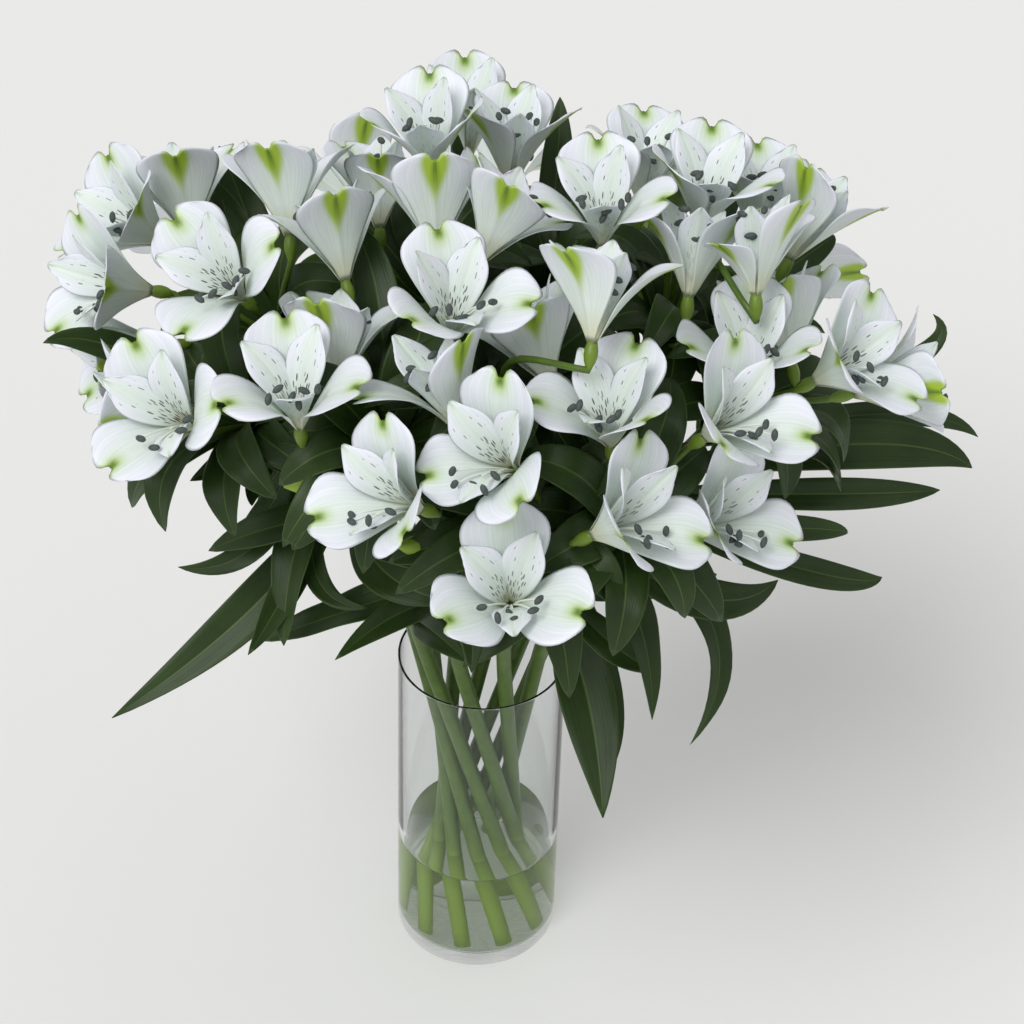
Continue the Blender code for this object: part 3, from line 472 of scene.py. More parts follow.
def settled_bloom(row, index, cloud):
    """Throat, frame, and each tepal's kind, size, bearing and opening, as the CAD has them."""
    aim = aimed_throat(row)
    if "lean" in row:
        axes = bloom_frame(facing(row["lean"], row["tilt"]), radians(row["spin"]))
    else:
        away = unit((aim - DOME_CENTRE) / DOME_RADII**2)
        axes = bloom_frame(unit(away + [0, 0, FAR_RISE]), pi / 2)
    sunk = [aim + step * SINK_STEP * unit(sight(row["pixel"])) for step in SINK_STEPS]
    throat = next(place for place in sunk if held(cloud, place))
    draw = np.random.default_rng(SEED + index)
    scale = draw.uniform(*SIZE_DRAW)
    openings = draw.uniform(-TEPAL_DRAW, TEPAL_DRAW, len(TEPALS))
    turnings = draw.uniform(-TEPAL_DRAW, TEPAL_DRAW, len(TEPALS))
    tepals = []
    for (kind, bearing), opening, turning in zip(TEPALS, openings, turnings):
        for shrink, less_open, aside in TEPAL_TRIES:
            end = radians(row["spread"] - kind["closer"]) + opening - less_open * OPEN_STEP
            way = radians(bearing) + turning + aside * TURN_STEP
            size = scale * (1 - shrink * SHRINK_STEP)
            if held(cloud, front_tip(kind, throat, axes, size, way, end)):
                tepals.append((kind, size, way, end))
                break
    return dict(throat=throat, frame=axes, tepals=tepals, stem=row["stem"])


rows = {**BLOOMS, **FAR_BLOOMS}
routes = stem_routes(rows)
blooms = {
    name: settled_bloom(row, index, cloud_of(name))
    for index, (name, row) in enumerate(rows.items())
}


# Canes, flower stalks, ovaries and buds
# Ten cut canes cross inside the vase and lean apart above it. Each runs straight up to the rim
# and bends on to its hub, where its flower stalks fan out. A stalk ends in an ovary under a
# bloom, or in a closed bud.
CANE_SIDES = 16
CANE_STEPS = 18
FOOT_STEPS = 16
STALK_SIDES = 8
STALK_STEPS = 5
STALK_RADIUS = 0.0014
OVARY_RADIUS = 0.0030
OVARY_LENGTH = 0.009
STALK_END = 0.022
STALK_BOWS = (-0.5, -0.3, -0.2, -0.1, 0, 0.1, 0.2, 0.3, 0.5)
STALK_REACHES = (0.4, 0.15)
STALK_LOWER = (0, 0.15, 0.3)
OVARY_SHARES = np.array([0.15, 0.35, 0.6, 0.82, 1.0, 1.2])
OVARY_SWELL = np.array([0.48, 0.74, 0.90, 0.88, 0.76, 0.62])
BUD_RADIUS = 0.0050
BUD_LENGTH = 0.020
BUD_RISE = 0.15
BUD_ROWS = np.array([(0.0, 0.3), (0.22, 0.85), (0.5, 1.0), (0.8, 0.66), (1.0, 0.16)])
BUDS = (
    dict(stem="c", pixel=(284, 486), nearer=0.010),
    dict(stem="j", pixel=(398, 546), nearer=0.020),
    dict(stem="j", pixel=(560, 520), nearer=0.020),
    dict(stem="f", pixel=(656, 288), nearer=0.010),
    dict(stem="d", pixel=(424, 152), nearer=0.010),
)
BUD_STEPS = 14
BUD_START = 0.06
BUD_SIDES = 12
CANE_THINNING = (1.0, 0.93, 0.74)
STALK_AGE = 0.1
OVARY_AGE = 0.4
BUD_STALK_AGE = 0.5
BUD_AGES = (0.75, 1.0)
OFF_ALL_LINES = (0.3, 0.5, 0.81)
CANE_DARK = "2B4212"
CANE_LIGHT = "557526"
YOUNG_GREEN = "93AE34"
# Heights and marks of the painted light below the waterline, where the canes show paler and
# yellower
WATERLINE_LIGHT_HEIGHTS = (0.044, 0.066)
WATERLINE_LIGHT_MARKS = (0.65, 0.05)


def tube(line, radii, sides):
    """Closed tube round a line, with its rings turned as little as they can be.

    The frame of each ring is the one before it, laid square to the line again. The two ends
    are closed with a fan round their middles.
    """
    line = np.asarray(line, float)
    ways = np.gradient(line, axis=0)
    ways /= np.linalg.norm(ways, axis=1)[:, None]
    sideways = [unit(np.cross(ways[0], OFF_ALL_LINES))]
    for way in ways[1:]:
        sideways.append(unit(sideways[-1] - (sideways[-1] @ way) * way))
    sideways = np.array(sideways)
    upwards = np.cross(ways, sideways)
    turn = tau * np.arange(sides)[None, :, None] / sides
    ring = np.cos(turn) * sideways[:, None] + np.sin(turn) * upwards[:, None]
    rings = line[:, None] + np.asarray(radii, float)[:, None, None] * ring
    return skin(rings, line[0], line[-1])


def merged(bodies):
    """Several closed bodies as one array of points and one list of faces."""
    faces, start = [], 0
    for points, own in bodies:
        faces += [tuple(start + corner for corner in face) for face in own]
        start += len(points)
    return np.vstack([points for points, _ in bodies]), faces


def smooth_line(points, steps):
    """Catmull-Rom curve through the points, with this many steps between two of them."""
    points = np.asarray(points, float)
    ends = [2 * points[0] - points[1], *points, 2 * points[-1] - points[-2]]
    share = np.linspace(0, 1, steps, endpoint=False)[:, None]
    line = []
    for a, b, c, d in zip(ends, ends[1:], ends[2:], ends[3:]):
        bend = 2 * a - 5 * b + 4 * c - d
        twist = 3 * (b - c) + d - a
        line.append(b + 0.5 * share * (c - a + share * (bend + share * twist)))
    return np.vstack([*line, points[-1]])


def settled_stalk(bloom, upper, cloud):
    """Points of the flower stalk that the CAD node has, from its start to the ovary's foot."""
    _, handle, hub = upper
    axis = bloom["frame"][2]
    below = bloom["throat"] - STALK_END * axis
    foot = bloom["throat"] - OVARY_LENGTH * axis
    best, least = None, np.inf
    runs = product(STALK_BOWS, STALK_BOWS, STALK_REACHES, STALK_LOWER, (False, True))
    for aside, above, reach, lower, straight in runs:
        top = below if straight else foot
        start = bezier(upper, [1 - lower])[0]
        span = np.linalg.norm(top - start)
        sideways = unit(np.cross(axis, top - start))
        upwards = np.cross(unit(top - start), sideways)
        first = start + reach * span * unit(hub - handle)
        middle = bezier((start, first, top - reach * span * axis, top), [0.5])[0]
        middle += span * (aside * sideways + above * upwards)
        far = np.partition(np.linalg.norm(cloud - middle, axis=1), STALK_SIDES)[:STALK_SIDES]
        miss = np.abs(far - STALK_RADIUS).mean()
        if miss < least:
            points = [start, middle, below, foot] if straight else [start, middle, foot]
            best, least = points, miss
    return best


def flower_stalk(bloom, upper, cloud):
    """Tube of a flower stalk with its ovary, and how young each of its points is."""
    points = settled_stalk(bloom, upper, cloud)
    line = smooth_line(points, STALK_STEPS)
    ovary = points[-1] + OVARY_SHARES[:, None] * OVARY_LENGTH * bloom["frame"][2]
    radii = [STALK_RADIUS] * len(line) + [*(OVARY_RADIUS * OVARY_SWELL)]
    body = tube(np.vstack([line, ovary]), radii, STALK_SIDES)
    young = np.repeat([STALK_AGE, OVARY_AGE], [len(line) * STALK_SIDES, len(ovary) * STALK_SIDES])
    return body, [*young, STALK_AGE, OVARY_AGE]


def closed_bud(row, upper):
    """Tube of a stalk that ends in a closed bud, and how young each of its points is."""
    hub = upper[2]
    tip = beside(hub, row["pixel"], row["nearer"])
    axis = unit(tip - hub + BUD_RISE * np.linalg.norm(tip - hub) * np.array([0, 0, 1.0]))
    start = tip - BUD_LENGTH * axis
    stalk = smooth_line([hub, (hub + start) / 2, start], STALK_STEPS)
    shares = np.linspace(BUD_START, 1, BUD_STEPS)
    swell = np.interp(shares, BUD_ROWS[:, 0], BUD_ROWS[:, 1]) * BUD_RADIUS
    line = np.vstack([stalk, start + BUD_LENGTH * shares[:, None] * axis])
    body = tube(line, [STALK_RADIUS] * len(stalk) + [*swell], BUD_SIDES)
    young = np.r_[np.full(len(stalk), BUD_STALK_AGE), np.interp(shares, (0, 1), BUD_AGES)]
    return body, [*young.repeat(BUD_SIDES), BUD_STALK_AGE, BUD_AGES[1]]


# Waxy plant skin: mottled dark green on canes and stalks, and bright yellow-green on ovaries and
# buds, which are the youngest. Below the waterline the canes are painted paler and yellower, as
# painted light for the way the water brightens them. A patch is some 5 mm across.
plant_skin, add, wear = finish("waxy_plant_skin")
place = add("TexCoord", out="Object")
grain = add("TexNoise", Vector=place, Scale=180.0, Detail=3.0)
young = add("Attribute", dict(attribute_name="young"), out="Fac")
grown = add("MixRGB", Fac=grain, Color1=linear(CANE_DARK), Color2=linear(CANE_LIGHT))
wear(
    Base_Color=add("MixRGB", Fac=young, Color1=grown, Color2=linear(YOUNG_GREEN)),
    Roughness=0.42,
)

for letter, route in routes.items():
    node, upper = f"stem_{letter}", route["upper"]
    cloud = cloud_of(node)
    straight = np.linspace(0, 1, FOOT_STEPS, endpoint=False)[:, None]
    bent = bezier(upper, np.linspace(0, 1, CANE_STEPS))
    line = np.vstack([route["foot"] + straight * (bent[0] - route["foot"]), bent])
    thin = np.interp(np.arange(len(line)), (0, FOOT_STEPS, len(line) - 1), CANE_THINNING)
    bodies = [tube(line, STEM_FOOT_RADIUS * thin, CANE_SIDES)]
    # Painted light: below the waterline the cane's mark rises, so that it shows paler and yellower
    youth_and_light_marks = [np.interp(bodies[0][0][:, 2], WATERLINE_LIGHT_HEIGHTS, WATERLINE_LIGHT_MARKS)]
    for bloom in blooms.values():
        if bloom["stem"] == letter:
            body, age = flower_stalk(bloom, upper, cloud)
            bodies.append(body)
            youth_and_light_marks.append(age)
    for row in BUDS:
        if row["stem"] == letter:
            body, age = closed_bud(row, upper)
            bodies.append(body)
            youth_and_light_marks.append(age)
    marks = dict(young=np.concatenate(youth_and_light_marks))
    lay(f"{node}_cane", *merged(bodies), plant_skin, [node], "leaf_green", marks=marks)


# Leaves
# Long lance-shaped leaves with veins along them. The ones that the view shows were placed one
# by one in the CAD, others grow under each hub, and small ones on the stalks at the back.

# Each leaf that shows: its stem, how far up its bent run it starts, the places of its middle
# and tip in the picture, and its width. Then how much nearer its tip is and its twist in
# degrees, each zero where a row leaves it out
LEAF_KEYS = ("stem", "share", "via", "tip", "width", "nearer", "roll")
LEAF_ROWS = (
    ("a", 0.62, (256, 604), (112, 718), 0.020),
    ("a", 0.66, (292, 578), (248, 655), 0.014, 0.03),
    ("a", 0.78, (252, 548), (178, 567), 0.011),
    ("a", 0.84, (262, 520), (222, 556), 0.012, -0.02),
    ("a", 0.70, (316, 574), (368, 608), 0.010, 0.02),
    ("a", 0.50, (385, 572), (452, 602), 0.019, 0.04),
    ("e", 0.35, (398, 614), (335, 660), 0.013, 0.05),
    ("c", 0.20, (434, 632), (470, 664), 0.014, 0.03),
    ("i", 0.35, (588, 700), (603, 818), 0.024, 0.02),
    ("h", 0.30, (612, 690), (612, 768), 0.009),
    ("i", 0.45, (612, 644), (660, 672), 0.014, 0.03),
    ("i", 0.80, (638, 620), (652, 720), 0.015, 0, 40),
    ("i", 0.85, (704, 598), (778, 580), 0.017),
    ("h", 0.55, (714, 630), (690, 745), 0.014, 0, 50),
    ("h", 0.80, (868, 444), (972, 468), 0.021),
    ("h", 0.90, (880, 414), (978, 437), 0.011, -0.03),
    ("h", 0.70, (836, 494), (940, 490), 0.014),
    ("i", 0.95, (780, 528), (848, 533), 0.011, -0.02),
    ("h", 0.62, (806, 570), (882, 577), 0.013),
    ("b", 0.97, (250, 222), (219, 146), 0.017),
    ("b", 0.93, (226, 222), (192, 184), 0.018),
    ("a", 0.97, (128, 352), (43, 343), 0.013),
    ("d", 0.97, (461, 150), (473, 50), 0.010),
    ("d", 0.99, (463, 190), (434, 102), 0.006, 0.02),
    ("f", 0.97, (556, 180), (560, 97), 0.014),
    ("g", 0.97, (726, 210), (732, 140), 0.009),
    ("g", 0.95, (770, 246), (806, 200), 0.013),
    ("g", 0.93, (786, 270), (835, 236), 0.014),
    ("h", 0.97, (902, 366), (933, 314), 0.009),
    ("c", 0.97, (378, 300), (347, 222), 0.018),
    ("c", 0.93, (398, 372), (394, 304), 0.020),
    ("d", 0.95, (398, 246), (402, 196), 0.010),
    ("d", 0.93, (446, 240), (452, 206), 0.010),
    ("a", 0.94, (232, 458), (190, 481), 0.011, 0.02),
    ("a", 0.90, (258, 478), (252, 506), 0.009, 0.02),
)
LEAVES = [dict(zip(LEAF_KEYS, (*row, 0, 0))) for row in LEAF_ROWS]

LEAF_STEP = 0.01
BELLY_COST = 1.5
LEAF_TRIES = sorted(
    product(range(-4, 5), range(-2, 3)),
    key=lambda steps: (abs(steps[0]) + BELLY_COST * abs(steps[1]), steps),
)
GROWN_LEAVES = (
    (0.97, 0.066, 0.017, 0.40),
    (0.95, 0.064, 0.016, 0.30),
    (0.92, 0.070, 0.018, 0.20),
    (0.70, 0.082, 0.018, -0.15),
    (0.45, 0.086, 0.018, -0.35),
)
GROWN_TRIES = (0, 15, -15, 30, -30, 45, -45, 65, -65, 90, -90)
GROWN_ARCH = 0.18
GROWN_OUT = (0.45, 0.88)
GROWN_DRAW = (0.88, 1.1)
SEEN_ROWS = np.array([(0.0, 0.12), (0.25, 0.78), (0.52, 1.0), (0.78, 0.66), (1.0, 0.0)])
GROWN_ROWS = np.array([(0.0, 0.12), (0.32, 0.90), (0.68, 0.90), (1.0, 0.0)])
LEAF_FOLD = 0.22
GOLDEN_TURN = radians(137.5)
HUB_WHORL = dict(count=12, rises=(0.05, 0.62), lengths=(0.050, 0.066), widths=(0.017, 0.021))
STALK_WHORL = dict(count=3, rises=(0.3, 0.7), lengths=(0.042, 0.056), widths=(0.012, 0.016))
STALK_WHORL_PLACES = (2, 5)
WHORL_STEP = 0.09
WHORL_TRIES = 5
BOWL_DEPTH = 0.003
BOWL_SLOPE = 0.75
BOWL_ROOT = 0.011
WHORL_SAMPLES = np.linspace(0.3, 1, 8)
LEAF_COLUMNS = np.array([-1, -0.93, -0.66, -0.33, -0.08, 0, 0.08, 0.33, 0.66, 0.93, 1])
LEAF_ROW_COUNT = 22
LEAF_THICKNESS = 0.0006
LEAF_CREASE = 0.0005
LEAF_WAVE = 0.0011
LEAF_WAVES = (8, 14)
LEAF_WAVE_SKEW = 1.5
LEAF_TIP = 0.02
LEAF_ROOT = 0.1
LEAF_BELLY = 0.93
LEAF_BELLY_POWER = 0.95
CREASE_HALF = 0.1
FOLD_POWER = 1.4
SEEN_FULLNESS = 0.88
GROWN_FULLNESS = 0.7
LEAF_DARK = "1B2D0E"
LEAF_MID = "33491B"
LEAF_BACK = "547036"
LEAF_RIB = "5F7A38"
LESS = dict(operation="SUBTRACT")
SIZE = dict(operation="ABSOLUTE")


def sheet(front, thickness, columns, rows):
    """Closed thin body on both sides of a grid of points, with sharp shared edges.

    Returns points, faces, UV shares across and along, and a mark that is one on the back.
    Points on the grid's border belong to both sides.
    """
    height, width = front.shape[:2]
    normal = np.cross(np.gradient(front, axis=1), np.gradient(front, axis=0))
    normal /= np.linalg.norm(normal, axis=2)[..., None]
    inner = np.zeros((height, width), bool)
    inner[1:-1, 1:-1] = True
    lift = np.where(inner, thickness / 2, 0)[..., None] * normal
    index = np.arange(height * width).reshape(height, width)
    behind = index.copy()
    behind[inner] = height * width + np.arange(inner.sum())
    points = np.vstack([(front + lift).reshape(-1, 3), (front - lift)[inner]])
    faces = []
    for grid, turn in ((index, 1), (behind, -1)):
        corners = (grid[:-1, :-1], grid[:-1, 1:], grid[1:, 1:], grid[1:, :-1])
        faces += np.stack(corners, axis=2).reshape(-1, 4)[:, ::turn].tolist()
    shares = np.stack(np.broadcast_arrays((columns + 1) / 2, rows), axis=2)
    uv = np.vstack([shares.reshape(-1, 2), shares[inner]])
    back = np.where(inner, 0.0, 0.5).ravel()
    return points, faces, uv, np.concatenate([back, np.ones(inner.sum())])


def leaf_frame(shares, root, middle, tip, face, roll):
    """Centre line of a leaf and its directions across and square to its face."""
    control = 2 * middle - (root + tip) / 2
    places = bezier((root, control, tip), shares)
    ways = bezier((control - root, tip - control), shares)
    ways /= np.linalg.norm(ways, axis=1)[:, None]
    across = np.cross(ways, face)
    across /= np.linalg.norm(across, axis=1)[:, None]
    normal = np.cross(across, ways)
    turn = roll * shares[:, None]
    return (
        places,
        np.cos(turn) * across + np.sin(turn) * normal,
        np.cos(turn) * normal - np.sin(turn) * across,
    )


def is_leaf(cloud, rows, root, middle, tip, width, face, roll):
    """Whether the CAD node has this leaf: most corners of its edges are vertices there."""
    shares, widths = rows.T
    places, across, normal = leaf_frame(shares, root, middle, tip, face, roll)
    half = (widths * width / 2)[:, None]
    edge = places + LEAF_FOLD * half * normal
    corners = np.vstack([edge - half * across, edge + half * across])
    return held(cloud, corners) >= len(shares)


def arched(root, length, out, rise, way):
    """Middle and tip of a leaf that rises along its stem and arches out from it."""
    middle = root + length * (GROWN_OUT[0] * out + (rise + GROWN_ARCH) * way)
    return middle, root + length * (GROWN_OUT[1] * out + rise * way)


def settled_leaves(letter, upper, cloud):
    """Shapes of the leaves that the CAD node of a stem has, each with its width formula."""
    found = []
    for row in (row for row in LEAVES if row["stem"] == letter):
        root, roll = bezier(upper, [row["share"]])[0], radians(row["roll"])
        for depth, belly in LEAF_TRIES:
            nearer = row["nearer"] + depth * LEAF_STEP
            tip = beside(root, row["tip"], nearer)
            middle = beside(root, row["via"], nearer / 2 + belly * LEAF_STEP)
            shape = (root, middle, tip, row["width"], TO_EYE, roll)
            if is_leaf(cloud, SEEN_ROWS, *shape):
                found.append((shape, SEEN_FULLNESS))
                break
    draw = np.random.default_rng(SEED + ord(letter))
    bearing = draw.uniform(0, tau)
    for share, length, width, rise in GROWN_LEAVES:
        length *= draw.uniform(*GROWN_DRAW)
        bearing += GOLDEN_TURN
        root = bezier(upper, [share])[0]
        way = unit(bezier((upper[1] - upper[0], upper[2] - upper[1]), [share])[0])
        side = unit(np.cross(way, TO_EYE))
        for turn in GROWN_TRIES:
            angle = bearing + radians(turn)
            out = cos(angle) * side + sin(angle) * np.cross(side, way)
            shape = (root, *arched(root, length, out, rise, way), width, way, 0.0)
            if is_leaf(cloud, GROWN_ROWS, *shape):
                found.append((shape, GROWN_FULLNESS))
                break
    return found


def in_bloom(places):
    """Whether any place lies in the bowl of a bloom, a cone that widens along its axis."""
    for bloom in blooms.values():
        from_throat = places - bloom["throat"]
        height = from_throat @ bloom["frame"][2]
        aside = np.sqrt((from_throat**2).sum(axis=1) - height**2)
        if ((height > -BOWL_DEPTH) & (aside < BOWL_ROOT + BOWL_SLOPE * height)).any():
            return True
    return False


def whorl(root, way, draw, count, rises, lengths, widths):
    """Shapes of short leaves round a place on a stem or stalk, each kept out of the blooms."""
    side = unit(np.cross(way, TO_EYE))
    bearing = draw.uniform(0, tau)
    found = []
    for rise in np.linspace(*rises, count):
        bearing += GOLDEN_TURN
        length, width = draw.uniform(*lengths), draw.uniform(*widths)
        out = cos(bearing) * side + sin(bearing) * np.cross(side, way)
        for lower in range(WHORL_TRIES):
            middle, tip = arched(root, length, out, rise - lower * WHORL_STEP, way)
            control = 2 * middle - (root + tip) / 2
            if not in_bloom(bezier((root, control, tip), WHORL_SAMPLES)):
                found.append(((root, middle, tip, width, way, 0.0), GROWN_FULLNESS))
                break
    return found


def leaf_sheet(root, middle, tip, width, face, roll, fullness, draw):
    """Thin body of one leaf on the CAD leaf's own centre line, creased and a little wavy."""
    shares = np.linspace(0, 1, LEAF_ROW_COUNT)
    places, across, normal = leaf_frame(shares, root, middle, tip, face, roll)
    belly = np.sin(pi * shares**LEAF_BELLY_POWER).clip(0) ** fullness
    half = (LEAF_TIP + LEAF_ROOT * (1 - shares) + LEAF_BELLY * belly)[:, None] * width / 2
    columns = LEAF_COLUMNS[None, :]
    phase = draw.uniform(0, tau) + draw.uniform(*LEAF_WAVES) * shares[:, None]
    wave = LEAF_WAVE * np.sin(phase + LEAF_WAVE_SKEW * columns) * columns**2
    crease = -LEAF_CREASE * np.exp(-((columns / CREASE_HALF) ** 2)) * (1 - shares[:, None])
    lift = LEAF_FOLD * half * np.abs(columns) ** FOLD_POWER + crease
    lift += wave * np.sin(pi * shares)[:, None]
    front = places[:, None] + (columns * half)[..., None] * across[:, None]
    front = front + lift[..., None] * normal[:, None]
    return sheet(front, LEAF_THICKNESS, columns, shares[:, None])


# Leaf blade: dark and waxy above, paler and yellower below, with a pale midrib and fine veins
# that run with it. Its shine is weak.
blade_skin, add, wear = finish("waxy_leaf_blade")
place = add("TexCoord", out="Object")
uv = add("TexCoord", out="UV")
across = add("SeparateXYZ", Vector=uv, out="X")
back = add("Attribute", dict(attribute_name="back"), out="Fac")
patch = add("TexNoise", Vector=place, Scale=55.0, Detail=3.0)
stretched = add("Mapping", Vector=uv, Scale=(26.0, 1.2, 1.0))
veins = add("TexNoise", Vector=stretched, Scale=1.0, Detail=1.0)
from_rib = add("Math", SIZE, v0=add("Math", LESS, v0=across, v1=0.5))
rib = add("MapRange", v0=from_rib, v1=0.0, v2=0.035, v3=0.55, v4=0.0)
upper_side = add("MixRGB", Fac=patch, Color1=linear(LEAF_DARK), Color2=linear(LEAF_MID))
streaked = add("MixRGB", dict(blend_type="SOFT_LIGHT"), Fac=0.35, Color1=upper_side, Color2=veins)
ribbed = add("MixRGB", Fac=rib, Color1=streaked, Color2=linear(LEAF_RIB))
wear(
    Base_Color=add("MixRGB", Fac=back, Color1=ribbed, Color2=linear(LEAF_BACK)),
    Roughness=0.44,
    Specular_IOR_Level=0.3,
    Normal=add("Bump", Strength=0.35, Distance=0.0004, Height=veins),
)

for letter, route in routes.items():
    node, draw = f"stem_{letter}", np.random.default_rng(SEED + ord(letter))
    bodies, marks = [], []
    upper, cloud = route["upper"], cloud_of(node)
    leaves = settled_leaves(letter, upper, cloud)
    leaves += whorl(upper[2], unit(upper[2] - upper[1]), draw, **HUB_WHORL)
    for name in FAR_BLOOMS:
        if blooms[name]["stem"] == letter:
            stalk = smooth_line(settled_stalk(blooms[name], upper, cloud), STALK_STEPS)
            for at in STALK_WHORL_PLACES:
                leaves += whorl(stalk[at], unit(stalk[at + 1] - stalk[at]), draw, **STALK_WHORL)
    for shape, fullness in leaves:
        points, faces, uv, back_mark = leaf_sheet(*shape, fullness, draw)
        bodies.append((points, faces))
        marks.append((uv, back_mark))
    uv, back_mark = (np.concatenate(part) for part in zip(*marks))
    body = merged(bodies)
    lay(f"{node}_leaves", *body, blade_skin, [node], "leaf_green", uv, dict(back=back_mark))


# Blooms
# Three broad outer tepals with a notched, green-pointed end, two narrow upper ones with dark
# dashes, and a plain lower one, all from one root ring. Each is a thin closed sheet on the CAD
# tepal's own midrib, rounder at the end, cupped, and a little wavy at its edge.
TEPAL_HALF = np.array([0.06, 0.13, 0.24, 0.4, 0.58, 0.76, 0.9, 1])
TEPAL_COLUMNS = np.concatenate([-TEPAL_HALF[::-1], [0], TEPAL_HALF])
TEPAL_ROWS = 20
TEPAL_THICKNESS = 0.0004
CUP_NEAR = 38.0
CUP_FAR = 5.0
CAP_FROM = 0.62
CAP_POWER = 2.6
TIP_CURL = (-0.0022, 0.0012)
MIDRIB_GROOVE = 0.0004
GROOVE_HALF = 0.1
ROW_POWER = 0.9
NOTCH_HALF = 0.2
POINT_HALF = 0.07
SWELL_POWERS = (1.2, 1.15)
EDGE_WAVES = 7
CURL_POWER = 5
TEPAL_SEED = SEED + 100
PETAL_MID = "E1EBE4"
PETAL_LOBE = "EBEDF6"
PETAL_VEIN = "B9C4C2"
PETAL_ROOT = "D3D7BC"
FLUSH_GREEN = "A6C455"
STRIPE_GREEN = "A9C63E"
POINT_GREEN = "4C7218"
DASH_MAUVE = "4C3444"
OUTER_LOOK = dict(
    fuller=1.08, root=0.10, peak=0.84, cap=0.42, notch=0.12, point=0.035, corner=0.09, wave=0.0014
)
INNER_LOOK = dict(
    fuller=0.96, root=0.14, peak=0.68, cap=0.50, notch=-0.05, point=0.02, corner=0.12, wave=0.0007
)


def tepal_sheet(bloom, kind, size, way, end, draw):
    """Thin body of one tepal, on the midrib of the CAD's own.

    Its half width swells as a power of a sine along it and is rounded off by a cap, its end is
    cut back in the notch and at the corners, and it is lifted towards the axis by the square
    of the way from its midrib.
    """
    look = OUTER_LOOK if kind is OUTER else INNER_LOOK
    side, top, axis = bloom["frame"]
    out_way = cos(way) * top + sin(way) * side
    across = cos(way) * side - sin(way) * top
    u = TEPAL_COLUMNS[None, :]
    v = np.linspace(0, 1, TEPAL_ROWS)[:, None] ** ROW_POWER
    drop = look["notch"] * np.exp(-((u / NOTCH_HALF) ** 2)) + look["corner"] * np.abs(u) ** 3
    drop -= look["point"] * np.exp(-((u / POINT_HALF) ** 2))
    share = v * (1 - drop * v**3)
    swell = np.sin(pi / 2 * (share / look["peak"]) ** SWELL_POWERS[0]).clip(0) ** SWELL_POWERS[1]
    cap = 1 - look["cap"] * ((v - CAP_FROM) / (1 - CAP_FROM)).clip(0) ** CAP_POWER
    width = kind["half"] * size * look["fuller"] * (look["root"] + (1 - look["root"]) * swell) * cap
    out, up, slope = (
        values.reshape(share.shape)
        for values in midrib(share.ravel(), kind["length"] * size, kind["start"], end)
    )
    cup = CUP_NEAR + (CUP_FAR - CUP_NEAR) * share**0.5
    phase = draw.uniform(0, tau, 2)
    wave = look["wave"] * np.sin(EDGE_WAVES * v + phase[0] + np.sign(u) * phase[1])
    wave = wave * np.abs(u) ** 3 * v
    curl = draw.uniform(*TIP_CURL) * v**CURL_POWER
    groove = -MIDRIB_GROOVE * np.exp(-((u / GROOVE_HALF) ** 2)) * np.sin(pi * v)
    inward = np.sin(slope)[..., None] * axis - np.cos(slope)[..., None] * out_way
    front = bloom["throat"] + out[..., None] * out_way + up[..., None] * axis
    front = front + (u * width)[..., None] * across
    front = front + (cup * (u * width) ** 2 + wave + curl + groove)[..., None] * inward
    return sheet(front, TEPAL_THICKNESS, u, v)


# Petal skin: satin white cells with fine lengthwise veins. The outer tepals have a green point
# in their notch with a yellow-green flush round it, and a broad yellow-green stripe outside.
# The upper inner ones have mauve-brown dashes, and every root is greenish cream.
petal_skin, add, wear = finish("satin_petal")
PRODUCT = dict(operation="MULTIPLY")
STEP = dict(interpolation_type="SMOOTHSTEP")
DARKEN = dict(blend_type="MULTIPLY")
uv = add("TexCoord", out="UV")
across = add("SeparateXYZ", Vector=uv, out="X")
along = add("SeparateXYZ", Vector=uv, out="Y")
inner_mark = add("Attribute", dict(attribute_name="inner"), out="Fac")
dashed = add("Attribute", dict(attribute_name="dashed"), out="Fac")
back = add("Attribute", dict(attribute_name="back"), out="Fac")
outer_mark = add("Math", LESS, v0=1.0, v1=inner_mark)
off_middle = add("Math", SIZE, v0=add("Math", LESS, v0=across, v1=0.5))
grain = add("TexNoise", Vector=add("TexCoord", out="Object"), Scale=70.0, Detail=2.0)

# Fine veins up to 1 mm apart, and cool white lobes on each side of a mint-white middle
stretched = add("Mapping", Vector=uv, Scale=(34.0, 1.4, 1.0))
veins = add("TexNoise", Vector=stretched, Scale=1.0, Detail=2.0)
aside = add("MapRange", STEP, v0=off_middle, v1=0.05, v2=0.36)
far = add("MapRange", STEP, v0=along, v1=0.30, v2=0.85)
lobes = add("Math", PRODUCT, v0=aside, v1=far)
white = add("MixRGB", Fac=lobes, Color1=linear(PETAL_MID), Color2=linear(PETAL_LOBE))
vein_depth = add("MapRange", STEP, v0=veins, v1=0.35, v2=0.75, v3=0.0, v4=0.22)
veined = add("MixRGB", DARKEN, Fac=vein_depth, Color1=white, Color2=linear(PETAL_VEIN))
root = add("MapRange", STEP, v0=along, v1=0.38, v2=0.04)
rooted = add("MixRGB", Fac=root, Color1=veined, Color2=linear(PETAL_ROOT))

# Yellow-green flush and darker point in the notch of an outer tepal
near_rib = add("MapRange", STEP, v0=off_middle, v1=0.21, v2=0.0)
near_end = add("MapRange", STEP, v0=along, v1=0.72, v2=0.97)
flush_size = add("Math", PRODUCT, v0=near_rib, v1=near_end)
flush = add("Math", PRODUCT, v0=flush_size, v1=outer_mark)
flushed = add("MixRGB", Fac=flush, Color1=rooted, Color2=linear(FLUSH_GREEN))
at_rib = add("MapRange", STEP, v0=off_middle, v1=0.11, v2=0.01)
at_end = add("MapRange", STEP, v0=along, v1=0.84, v2=0.97)
point_size = add("Math", PRODUCT, v0=at_rib, v1=at_end)
point_share = add("MapRange", v0=inner_mark, v3=1.0, v4=0.45)
point = add("Math", PRODUCT, v0=point_size, v1=point_share)
pointed = add("MixRGB", Fac=point, Color1=flushed, Color2=linear(POINT_GREEN))

